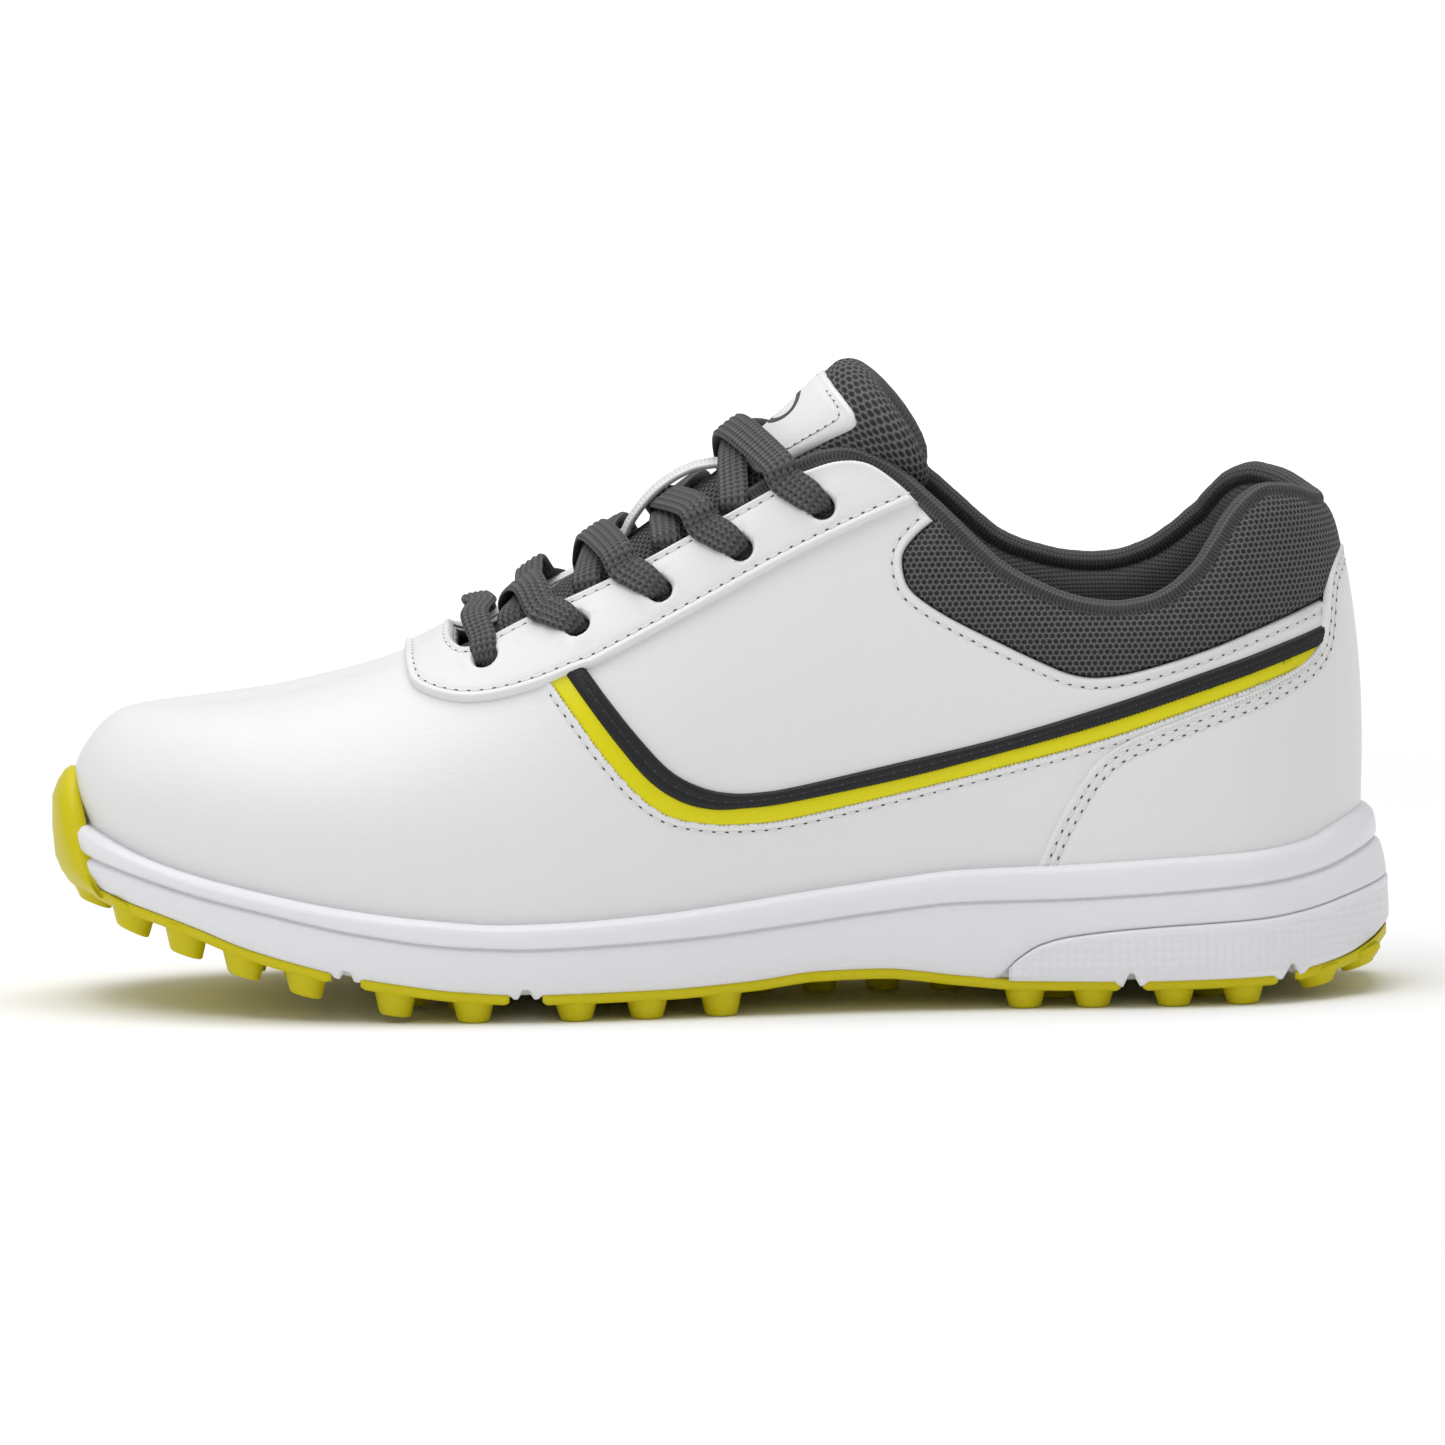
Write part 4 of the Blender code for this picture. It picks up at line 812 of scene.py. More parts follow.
def stitch_rows(name, rows, body="shoe", thread=None, pitch=STITCH_PITCH):
    """Rows of stitches. Each row is its points and its normals. Dark dots of painted shade, where the thread
    dives into its needle holes, part them.
    """
    thread_shape, hole_shade_shape = dots(5, 6, 0.6), dots(4, 6)
    points, faces, which = [], [], []
    for path, up in rows:
        length = measured(path)
        count = max(2, int(length[-1] / pitch))
        # Stitches halfway between needle holes, and dark dots of painted shade at the holes, each with its
        # shift, shape, half sizes and sink.
        for kind, (shift, shape, half, sink) in enumerate((
                (0.5, thread_shape, (pitch * 0.38, 0.27, 0.2), 0.03),
                (0.0, hole_shade_shape, (0.44, 0.19, 0.12), 0.04))):
            stops = (np.arange(count) + shift) * length[-1] / count
            along = unit(read(stops + 0.4, length, path) - read(stops - 0.4, length, path))
            out = unit(read(stops, length, up))
            out = unit(out - along * (out * along).sum(1)[:, None])
            p, f = copies(read(stops, length, path) - out * sink, along, out, *shape, half)
            faces += shifted(f, points)
            points.append(p)
            which += [kind] * len(f)
    return add_mesh(name, np.vstack(points), faces, [thread or THREAD, HOLE_SHADE], None, which, body=body)


def row_on(line, height):
    """A stitch row over the last surface."""
    return lifted(line, height), normals(line)


# ---------------------------------------------------------------- upper
def rolled(low, top, radius=0.9, bead=0.0):
    """Height across a panel whose edge is rounded over, with a slight bead along it."""
    def height(gap, _):
        k = np.clip(gap / radius, 0, 1)
        return low + (top - low) * np.sqrt(1 - (1 - k) ** 2) + bead * np.exp(-((gap - radius) / 0.8) ** 2)
    return height


def level(value):
    """The same height all over a panel."""
    return lambda gap, base: np.full(len(gap), float(value))


def tucked(start, end):
    """The hidden line behind the sole's rim from one u to another, on w's side."""
    w = -TUCK if start[1] < 0 else TUCK
    count = max(3, int(abs(end[0] - start[0]) * GRID_SCALE[0] / 2.2))
    return np.linspace((start[0], w), (end[0], w), count)


def stands_for(nodes):
    """Hides the CAD nodes that a piece stands for."""
    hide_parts(*nodes)


EYELET_PLACES = {side: find(EYELETS, side) for side in (-1, 1)}
ALL_EYELETS = [tuple(p) for side in (-1, 1) for p in EYELET_PLACES[side]]


def build_eyestay():
    outer_line = over_ridge(EYESTAY_OUTER, 0.9)
    throat_line = over_ridge(THROAT[::-1], 0.9)
    tops = {side: seen(EYESTAY_TOP, side, 0.9) for side in (-1, 1)}
    parts = [(outer_line, "edge"),
             (np.vstack([outer_line[-1:], tops[1][::-1][1:-1], throat_line[-1:]]), "edge"),
             (throat_line[::-1], "edge"),
             (np.vstack([throat_line[:1], tops[-1][1:-1], outer_line[:1]]), "edge")]
    # The outer line runs from the lateral top over the toe end to the medial top.
    rows = [even(pushed(line, gap), 0.9)[2:-2] for line, gap in ((outer_line, -2.0), (throat_line, 1.6))]
    made = patch("eyestay_leather", parts, rolled(0.0, 1.5, 0.75, 0.3), level(0.0), [WHITE],
                 rings=(0.2, 0.45, 0.75, 1.1, 1.5), spacing=1.9, creases=rows, holes=ALL_EYELETS)
    stands_for(["eyestay"])
    stitch_rows("eyestay_stitching", [row_on(line, 1.4) for line in rows])


def build_vamp():
    seam = [(-37.6, 84.4), (-36, 74.4)] + STRIPE_LOW
    rear = [(126, 70.4), (126, 60), (112, 52), (95, 46), (84, 40), (78, 32)]
    throat = [(x, z) for x, z in THROAT if x < -38] + [(-37.6, 80.5)]
    lat_seam, med_seam = seen(seam[1:], -1), seen(seam[1:], 1)
    lat_rear, med_rear = seen(rear, -1, 2.0), seen(rear, 1, 2.0)
    throat_line = over_ridge(throat[::-1])
    lat_low, med_low = (lat_rear[-1, 0], -TUCK), (med_rear[-1, 0], TUCK)
    fold = np.linspace((0, -TUCK), (0, TUCK), 80)
    parts = [(np.vstack([throat_line[:1], lat_seam]), "edge"), (lat_rear, "hidden"),
             (np.vstack([lat_rear[-1:], [lat_low]]), "hidden"), (tucked(lat_low, (0, -TUCK)), "hidden"),
             (fold, "fold"), (tucked((0, TUCK), med_low), "hidden"),
             (np.vstack([[med_low], med_rear[-1:]]), "hidden"), (med_rear[::-1], "hidden"),
             (np.vstack([med_seam[::-1], throat_line[-1:]]), "edge"), (throat_line[::-1], "edge")]
    rows = [pushed(seen(STRIPE_LOW, side, 0.8), 1.9 * side)[2:] for side in (-1, 1)]

    def height(gap, base):
        k = np.clip(gap / 0.7, 0, 1)
        lip = np.where(base[:, 0] > -45, 0.75, 0.0)
        return -SHEET + (SHEET + lip * np.exp(-(gap / 2.2) ** 2)) * np.sqrt(1 - (1 - k) ** 2)
    holes = [p for p in ALL_EYELETS if surf(*p)[0] < -40]
    made = patch("vamp_leather", parts, height, level(-SHEET), [WHITE], rings=(0.2, 0.45, 0.8, 1.3),
                 creases=rows, holes=holes)
    stands_for(["vamp"])
    stitch_rows("vamp_stitching", [row_on(line, 0.22) for line in rows])


def build_quarter(side, name):
    seam = [(-36, 76)] + STRIPE_MIDDLE
    throat = THROAT[5:]
    lines = [seen(seam, side), seen([(126, 72.8), (128, 77), (128, 82.4)], side),
             seen(MESH_LOWER[-2::-1], side, 0.8),
             seen(EYESTAY_TOP[::-1], side), seen(throat[::-1], side)]
    parts = [(np.vstack([line, after[:1]]), kind) for line, after, kind
             in zip(lines, lines[1:] + lines[:1], ("edge", "hidden", "edge", "edge", "edge"))]
    row = pushed(seen(MESH_LOWER[:-1], side, 0.8), 2.1 * side)[3:-1]
    holes = [tuple(p) for p in EYELET_PLACES[side] if surf(*p)[0] > -40]
    made = patch("quarter_leather_" + name, parts, rolled(-SHEET, 0.0, 0.8, 0.2), level(-SHEET), [WHITE],
                 rings=(0.25, 0.55, 0.9, 1.4), creases=[row], holes=holes)
    stands_for(["quarter_" + name])
    stitch_rows("quarter_stitching_" + name, [row_on(row, -0.1)])


def band(name, top, low, side, heights, finishes, centre=None, inner=-0.9):
    """A narrow stripe between two lines."""
    upper, lower = seen(top, side, 0.8), seen(low, side, 0.8)
    parts = [(np.vstack([upper, lower[-1:]]), "edge"), (np.vstack([lower[::-1], upper[:1]]), "edge")]
    creases = [even(centre, 0.8)] if centre is not None else []
    return patch(name, parts, heights, level(inner), finishes, rings=(0.2, 0.45, 0.8), spacing=1.4,
                 creases=creases)


def moved_down(points, distance):
    """An outline moved to the right of its direction."""
    p = np.array(points, float)
    along = unit(np.gradient(p, axis=0))
    return (p + np.stack([along[:, 1], -along[:, 0]], -1) * distance).tolist()


def build_stripes(side, name):
    """The piping over the band. Both start under the eyestay, a little before their outlines."""
    top, middle_line, low = [[(2 * line[0][0] - line[1][0] + 1.6, 2 * line[0][1] - line[1][1] - 2.4)] + line
                             for line in (STRIPE_TOP, STRIPE_MIDDLE, STRIPE_LOW)]
    under_black = moved_down(middle_line, -0.7)
    made = band("lime_band_" + name, under_black, moved_down(low, 0.6), side, rolled(-0.9, 0.45, 0.5),
                [LIME_TRIM])
    stands_for(["accent_band_" + name])
    middle = [((a[0] + b[0]) / 2, (a[1] + b[1]) / 2)
              for a, b in zip(through(STRIPE_TOP, 4), through(STRIPE_MIDDLE, 4))]
    centre = seen(middle, side, 0.8)[2:-2]
    made = band("black_piping_" + name, top, middle_line, side, rolled(0.0, 1.15, 1.0), [BLACK], centre,
                0.0)
    stands_for(["piping_" + name])
    stitch_rows("piping_stitching_" + name, [row_on(centre, 0.92)], thread=DARK_THREAD)


def build_heel():
    edge = round_heel(HEEL_EDGE, 0.8)
    ends = ((edge[0, 0], -TUCK), (edge[-1, 0], -TUCK))
    parts = [(edge, "edge"), (np.vstack([edge[-1:], [ends[1]]]), "hidden"),
             (tucked(ends[1], ends[0]), "hidden"), (np.vstack([[ends[0]], edge[:1]]), "hidden")]
    rows = [pushed(edge, -1.7)[2:-2], pushed(edge, -3.3)[2:-2]]
    made = patch("heel_leather", parts, rolled(0.0, 1.35, 0.8, 0.15), level(0.0), [WHITE],
                 rings=(0.22, 0.5, 0.9), creases=rows)
    stands_for(["heel_overlay"])
    stitch_rows("heel_stitching", [row_on(line, 1.28) for line in rows])


def build_collar():
    low = round_heel(MESH_LOWER, 1.0)
    top = round_heel(moved_down(TOPLINE[2:], 2.6), 1.0, True)
    top = top[(top[:, 0] > low[0, 0]) & (top[:, 0] < low[-1, 0])]
    parts = [(low, "edge"), (np.vstack([low[-1:], top[::-1]]), "edge"),
             (np.vstack([top[:1], low[:1]]), "edge")]

    def crowned(reach, rise, power):
        def height(gap, _):
            k = np.clip(gap / reach, 0, 1)
            return -1.6 + rise * np.sqrt(1 - (1 - k) ** 2) ** power
        return height
    made = patch("collar_padding", parts, crowned(7.0, 2.5, 0.8), crowned(8.0, -6.4, 0.7), [MESH, KNIT],
                 rings=(0.5, 1.2, 2.2, 3.4, 4.8, 6.4))
    stands_for(["collar_mesh", "collar_foam", "collar_lining"])


BINDING_START = [(6.8, 105.4), (11.3, 108.0), (16.4, 111.0), (21.5, 113.0), (26.0, 113.6)]


def build_binding():
    line = round_heel(BINDING_START + moved_down(TOPLINE[1:], 2.0), 1.0, True)
    path = lifted(line, -BINDING_DEPTH)
    across = normals(line)
    wave = 1 + 0.012 * np.sin(np.arange(len(path)) * 0.9) + 0.01 * np.sin(np.arange(len(path)) * 2.3)
    made = sweep("topline_roll", path, across, 4.9 * wave, 4.6 * wave, round_section(18), KNIT)
    stands_for(["topline_binding"])


def build_lining():
    top = moved_down(TOPLINE, 3.4)
    throat = over_ridge([(17.5, 109.3), (11.3, 105.7)] + [(x, z - 0.4) for x, z in THROAT[::-1][2:]], 1.6)
    lat_top, med_top = seen(top, -1, 1.6), seen(fuller(top), 1, 1.6)
    lat_top, med_top = lat_top[lat_top[:, 0] < 0.9995], med_top[med_top[:, 0] < 0.9995]
    heel_w = (abs(lat_top[-1, 1]) + abs(med_top[-1, 1])) / 2
    toe_fold = np.linspace((0, -1), (0, 1), 60)
    lat_fold, med_fold = np.linspace((1, -heel_w), (1, -1), 30), np.linspace((1, 1), (1, heel_w), 30)
    low_lat, low_med = np.linspace((1, -1), (0, -1), 150), np.linspace((0, 1), (1, 1), 150)
    parts = [(np.vstack([throat[:1], lat_top, lat_fold[:1]]), "edge"), (lat_fold, "fold"),
             (low_lat, "hidden"), (toe_fold, "fold"), (low_med, "hidden"), (med_fold, "fold"),
             (np.vstack([med_fold[-1:], med_top[::-1], throat[-1:]]), "edge"), (throat[::-1], "edge")]

    def face(shift):
        def height(_, base):
            share = np.clip(np.maximum(-70 - base[:, 0], base[:, 0] - 44) / 15, 0, 1)
            return -1.5 - 1.6 * share - shift
        return height
    made = patch("upper_lining_knit", parts, face(0.0), face(0.7), [KNIT], rings=(0.6,), spacing=3.2)
    stands_for(["upper_lining"])


def build_stiffeners():
    fold = np.linspace((0, -STIFF_EDGE), (0, STIFF_EDGE), 40)
    low = np.linspace((0, STIFF_EDGE), (PUFF_END, STIFF_EDGE), 20)
    back = np.linspace((PUFF_END, STIFF_EDGE), (PUFF_END, -STIFF_EDGE), 40)
    parts = [(fold, "fold"), (low, "hidden"), (back, "edge"), (low[::-1] * [1, -1], "hidden")]
    made = patch("toe_puff_sheet", parts, level(-1.5), level(-2.6), [BOARD], rings=(0.6,), spacing=3.5)
    stands_for(["toe_puff"])
    edge = round_heel([(74, 34), (77, 44), (84, 56), (96, 64), (110, 69), (118, 76), (136, 78)], 2.0)
    base = np.linspace((edge[-1, 0], -STIFF_EDGE), (edge[0, 0], -STIFF_EDGE), 60)
    parts = [(edge, "edge"), (np.vstack([edge[-1:], base]), "hidden"),
             (np.vstack([base[-1:], edge[:1]]), "hidden")]
    made = patch("heel_counter_sheet", parts, level(-1.4), level(-2.4), [BOARD], rings=(0.6,), spacing=3.5)
    stands_for(["heel_counter"])


build_eyestay()
build_vamp()
for side_sign, side_name in ((-1, "lateral"), (1, "medial")):
    build_quarter(side_sign, side_name)
    build_stripes(side_sign, side_name)
build_heel()
build_collar()
build_binding()
build_lining()
build_stiffeners()


# ---------------------------------------------------------------- tongue
def tongue_frame(x):
    """Centre, outward direction and direction along the tongue. Past its end it goes straight on."""
    x = np.asarray(x, float)
    mid = np.clip(x, -59.5, TONGUE_END - 0.5)
    rise = tongue_height(mid + 0.5) - tongue_height(mid - 0.5)
    along = unit(np.stack([np.ones_like(x), np.zeros_like(x), rise], -1))
    out = np.stack([-along[..., 2], np.zeros_like(x), along[..., 0]], -1)
    height = tongue_height(x) + np.maximum(0.0, x - TONGUE_END) * rise
    return np.stack([x, TONGUE_Y + 0 * x, height], -1), out, along


def tongue_point(x, across, depth):
    """Points of the tongue's arc: across runs from -1 to 1 over its width, depth goes inwards."""
    x, across, depth = np.broadcast_arrays(np.asarray(x, float), across, depth)
    centre, out, _ = tongue_frame(x)
    width, wrap = tongue_width(x), tongue_wrap(x)
    radius = (width * width + wrap * wrap) / (2 * wrap)
    turn = np.arctan2(width, radius - wrap) * across
    reach = radius - depth
    return (centre - out * radius[..., None] + out * (reach * np.cos(turn))[..., None]
            + np.stack([0 * x, reach * np.sin(turn), 0 * x], -1))


def tongue_pad(name, start, end, finish_out, finish_in, count=110, half=26):
    """The whole padded tongue: its face, its rounded sides and top, and its back."""
    full = end - TONGUE_TIP
    x = np.concatenate([np.linspace(start, full, count),
                        full + TONGUE_TIP * np.sin(np.linspace(0, 0.5 * math.pi, 14)[1:])])
    across = np.sin(np.linspace(-0.5 * math.pi, 0.5 * math.pi, half + 1))
    edge = np.sqrt(np.clip(1 - np.abs(across) ** 7, 0, 1))
    tip = np.sqrt(np.clip(1 - np.clip((x - full) / TONGUE_TIP, 0, 1) ** 2, 0, 1))
    thick = tongue_thickness(x)[:, None] * edge[None, :] * np.maximum(tip, 0.02)[:, None]
    middle = (tongue_thickness(x) * 0.55)[:, None]
    puff = 0.7 * np.cos(across * 0.5 * math.pi)[None, :] * tip[:, None]
    corner = TONGUE_CORNER * np.clip((x[:, None] - 2.0) / 24.0, 0, 1) ** 2 * np.abs(across[None, :]) ** 4
    face = tongue_point(x[:, None] - corner, across[None, :], middle - 0.55 * thick - puff)
    back = tongue_point(x[:, None] - corner[:, 1:-1], across[None, 1:-1],
                        middle + 0.55 * thick[:, 1:-1])[:, ::-1]
    rows = np.concatenate([face, back], 1)
    n, k = rows.shape[:2]
    faces = capped_faces(n, k)
    which = [0 if (i % k) < half else 1 for i in range((n - 1) * k)] + [1, 0]
    length = measured(rows[:, half // 2])
    ring = measured(np.vstack([rows[n // 2], rows[n // 2][:1]]))[:-1]
    uv = np.stack(np.broadcast_arrays(length[:, None], ring[None, :]), -1).reshape(-1, 2)
    return facing_out(add_mesh(name, rows.reshape(-1, 3), faces, [finish_out, finish_in], uv, which,
                               body="tongue"))


def build_tongue():
    made = tongue_pad("tongue_padding", TONGUE_ROOT, TONGUE_TOP, TONGUE_MESH, KNIT)
    stands_for(["tongue_shell", "tongue_foam", "tongue_lining"])


def build_label():
    """A stitched label with rounded corners and a plain ring on it."""
    n, m = 40, 30
    s = np.linspace(-1, 1, n)[:, None]
    t = np.linspace(-1, 1, m)[None, :]
    squeeze = 1 - 0.10 * np.abs(s) ** 10
    x = LABEL_X + LABEL_HALF * s * (1 - 0.06 * np.abs(t) ** 10)
    across = 0.52 * t * squeeze
    gap = np.minimum((1 - np.abs(s)) * LABEL_HALF, (1 - np.abs(t)) * 9.5)
    k = np.clip(gap / 0.5, 0, 1)
    top = 0.45 + 0.95 * np.sqrt(1 - (1 - k) ** 2) - 0.18 * np.exp(-((gap - 1.3) / 0.4) ** 2)
    face = tongue_point(x, across, -top).reshape(-1, 3)
    back = tongue_point(x, across, -0.1).reshape(-1, 3)
    faces = grid_faces(n, m, closed=False)
    faces += [tuple(reversed([q + n * m for q in f])) for f in faces]
    rim = ([i * m for i in range(n)] + [(n - 1) * m + j for j in range(1, m)]
           + [i * m + m - 1 for i in range(n - 2, -1, -1)] + [j for j in range(m - 2, 0, -1)])
    faces += [(rim[i], rim[(i + 1) % len(rim)], rim[(i + 1) % len(rim)] + n * m, rim[i] + n * m)
              for i in range(len(rim))]
    made = facing_out(add_mesh("tongue_tag", np.vstack([face, back]), faces, [WHITE], body="tongue"))
    stands_for(["tongue_label"])
    turn = np.linspace(0, 2 * math.pi, 65)
    sx, sy = np.sign(np.cos(turn)), np.sign(np.sin(turn))
    bx = LABEL_X + (LABEL_HALF - 1.3) * sx * np.abs(np.cos(turn)) ** 0.25
    by = 0.445 * sy * np.abs(np.sin(turn)) ** 0.25
    path = tongue_point(bx, by, -1.36)
    up = unit(tongue_point(bx, by, -2.36) - path)
    stitch_rows("tag_stitching", [(path, up)], "tongue", pitch=1.9)
    ring_x, ring_y = LABEL_X + 0.8 + 3.0 * np.cos(turn), 0.17 * np.sin(turn)
    path = tongue_point(ring_x, ring_y, -1.42)
    up = unit(tongue_point(ring_x, ring_y, -2.42) - path)
    out = np.cross(np.gradient(path, axis=0), up)
    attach(sweep("tag_ring", path, out, 1.4, 0.12, round_section(8), GREY_INK, "tongue"), "tongue")


KEEPER_LINE = [(-21.0, 94.0), (-19.6, 94.9), (-18.6, 95.8), (-17.6, 97.8), (-15.2, 101.2), (-12.2, 104.4),
               (-8.6, 107.0), (-4.6, 108.9), (-1.2, 109.6), (1.6, 109.9), (3.4, 110.9), (5.0, 112.1)]


def build_keeper():
    line = through(KEEPER_LINE, 6)
    path = np.stack([line[:, 0], np.full(len(line), TONGUE_Y), line[:, 1]], -1)
    across = np.tile([0.0, 1.0, 0.0], (len(path), 1))
    made = sweep("keeper_strap", path, across, 9.0, 1.9, ribbon_section(10, 46), WEBBING, "tongue")
    stands_for(["lace_keeper"])


build_tongue()
build_label()
build_keeper()


# ---------------------------------------------------------------- lace
def off_surface(x, z, side, distance):
    """A point above the last surface and the direction it is above it in."""
    place = find([(x, z)], side)
    return lifted(place, distance)[0], normals(place)[0]


LACE_CROSSINGS = [(-37.0, 3.4, 5.6), (-22.0, 3.9, 6.1), (-9.3, 1.7, 3.4), (7.0, 4.1, 6.4)]
LACE_OUT = [4.2, 1.0, 0.5, -2.0]        # where it comes out from under the throat's edge, past its eyelet
LACE_OVER = [0.0, -6.6, -6.6, -7.2, -7.4]   # where it goes over that edge, before its eyelet


def lace_half(first_side):
    """Half of the lace: points, normals, widths and thicknesses from the lowest bar's middle."""
    side = first_side
    centre, out, _ = tongue_frame(-44.5)
    stops = [(centre + out * 6.9, np.array([-0.05, 0.0, 1.0]), 0.86, 1.0)]

    def add(x, z, distance, width, thick):
        point, normal = off_surface(x, z, side, distance)
        stops.append((point, normal, width, thick))
    point, normal = off_surface(-48.3, 78.6, side, 2.9)
    stops.append((point, unit(normal * [0.35, 1.0, 1.0]), 0.86, 1.0))
    for number, (x, z) in enumerate(EYELETS):
        before = LACE_OVER[number]
        edge = np.array([x + before, float(throat_height(x + before))])
        hole = np.array([x, z])
        wide = 0.84 if number == 0 else 1.0
        if number:
            add(edge[0] - 1.8, edge[1] + 3.2, 2.9, 1.0, 1.0)
            add(edge[0], edge[1], 2.5, 1.0, 1.0)
        way = (edge - hole) / np.linalg.norm(edge - hole)
        for back, distance, width, thick in ((5.2, 2.35, wide, 1.0), (3.2, 2.3, 0.97 * wide, 1.1),
                                             (1.5, 1.8, 0.84, 1.2), (0.5, 0.4, 0.7, 1.35),
                                             (0.3, -1.8, 0.62, 1.4)):
            if number or back < 5:
                add(*(hole + way * back), distance, width, thick)
        add(x + 0.2, z + 0.9, -4.0, 0.7, 1.1)
        if number == len(EYELETS) - 1:
            break
        out_x = x + LACE_OUT[number]
        add(out_x - 0.6, float(throat_height(out_x)) - 2.6, -4.2, 0.85, 1.0)
        add(out_x, float(throat_height(out_x)) + 1.2, -3.4, 0.9, 1.0)
        add(out_x + 0.4, float(throat_height(out_x)) + 4.4, -1.0, 0.95, 1.0)
        below = (number % 2 == 0) == (first_side < 0)
        cross_x, low, high = LACE_CROSSINGS[number]
        centre, out, _ = tongue_frame(cross_x)
        stops.append((centre + out * (low if below else high), out, 1.0, 1.0))
        side = -side
    for x, z, depth in ((24.5, 98.0, 4.3), (26.0, 91.0, 4.5), (26.0, 83.0, 4.8), (25.0, 76.0, 5.4)):
        add(x, z, -depth, 0.6, 1.0)
    return stops


def build_lace():
    """The lace. Its width direction is kept from flipping, and smoothed, where it dives into a hole."""
    lateral, medial = lace_half(-1), lace_half(1)
    stops = list(reversed(lateral)) + medial[1:]
    path = through(np.array([s[0] for s in stops]), 9)
    up = unit(through(np.array([s[1] for s in stops]), 9))
    size = through(np.array([[s[2], s[3]] for s in stops]), 9)
    along = unit(np.gradient(path, axis=0))
    side = np.cross(up, along)
    weak = np.linalg.norm(side, axis=1) < 0.6
    side = unit(side)
    known = np.where(~weak)[0]
    for a, b in zip(known[:-1], known[1:]):
        if (side[b] * side[a]).sum() < 0:
            side[b:] = -side[b:]
        for k in range(a + 1, b):
            share = (k - a) / (b - a)
            side[k] = side[a] * (1 - share) + side[b] * share
    kernel = np.ones(13) / 13
    padded = np.pad(side, ((6, 6), (0, 0)), mode="edge")
    side = unit(np.stack([np.convolve(padded[:, k], kernel, mode="valid") for k in range(3)], -1))
    made = sweep("woven_lace", path, side, LACE_WIDTH * size[:, 0], LACE_THICKNESS * size[:, 1],
                 ribbon_section(), LACE)
    stands_for(["lace"])


build_lace()


# ---------------------------------------------------------------- sole
def heel_share(x):
    return np.clip((np.asarray(x, float) - FLARE_START) / FLARE_LENGTH, 0, 1) ** 2


def flare(x):
    return HEEL_FLARE * heel_share(x)


def sole_angles():
    """Plan angles from toe to heel, close together at the notches."""
    base = list(np.linspace(0, math.pi, 230))
    for x in NOTCHES:
        base += [float(angle_at(x + side * d)) for side in (-1, 1)
                 for d in (0, 0.5, 1.0, 1.7, 2.4, 3.0, 3.6, 4.2)]
    return np.unique(np.round(base, 5))


ANGLES = sole_angles()
RING_ANGLES = np.concatenate([ANGLES, ANGLES[-2:0:-1]])
RING_SIDES = np.concatenate([np.full(len(ANGLES), -1.0), np.full(len(ANGLES) - 2, 1.0)])
RING_X = PLAN_CENTRE_X - PLAN_HALF_LENGTH * np.cos(RING_ANGLES)


def level_ring(offset, height):
    x, y = plan(RING_ANGLES, RING_SIDES, offset)
    return np.stack([x, y, height], -1)


def closed_rings(name, rings, finishes, which_of=None, across=8, dish=0.0, body="shoe"):
    """A solid from rings, bottom to top, with its bottom and top filled across the shoe."""
    n, size = len(rings), len(rings[0])
    points = np.concatenate(rings)
    faces = grid_faces(n, size)
    which = [which_of(i // size) if which_of else 0 for i in range(len(faces))]
    last = len(ANGLES) - 1
    for level_start, drop in ((0, 0.0), ((n - 1) * size, dish)):
        left = np.arange(0, last + 1)
        right = (size - left) % size
        index = np.zeros((last + 1, across + 1), int)
        index[:, 0], index[:, -1] = level_start + left, level_start + right
        new = []
        for k in range(1, across):
            s = k / across
            row = points[level_start + left] * (1 - s) + points[level_start + right] * s
            row = row - np.array([0, 0, drop * math.sin(math.pi * s)])
            index[1:-1, k] = len(points) + len(new) * (last - 1) + np.arange(last - 1)
            index[0, k], index[-1, k] = index[0, 0], index[-1, 0]
            new.append(row[1:-1])
        points = np.vstack([points] + new)
        for i in range(last):
            for k in range(across):
                face = dict.fromkeys([index[i, k], index[i + 1, k], index[i + 1, k + 1], index[i, k + 1]])
                if len(face) > 2:
                    faces.append(tuple(face))
                    which.append(which_of(0 if level_start == 0 else n - 2) if which_of else 0)
    s = measured(rings[0])
    uv = np.zeros((len(points), 2))
    uv[:n * size, 0] = np.tile(s, n)
    uv[:n * size, 1] = points[:n * size, 2]
    uv[n * size:] = points[n * size:, :2]
    return facing_out(add_mesh(name, points, faces, finishes, uv, which, 0.0, body))


def notched(x):
    """How far the midsole's underside drops into lips, and rises between them, by x."""
    rise = np.zeros_like(x)
    for place in NOTCHES:
        d = np.abs(x - place)
        rise += np.interp(d, [0, 0.5, 1.4, 1.9, 2.7, 3.3], [1.9, 1.7, -0.7, -1.1, -0.8, 0.0])
    return rise


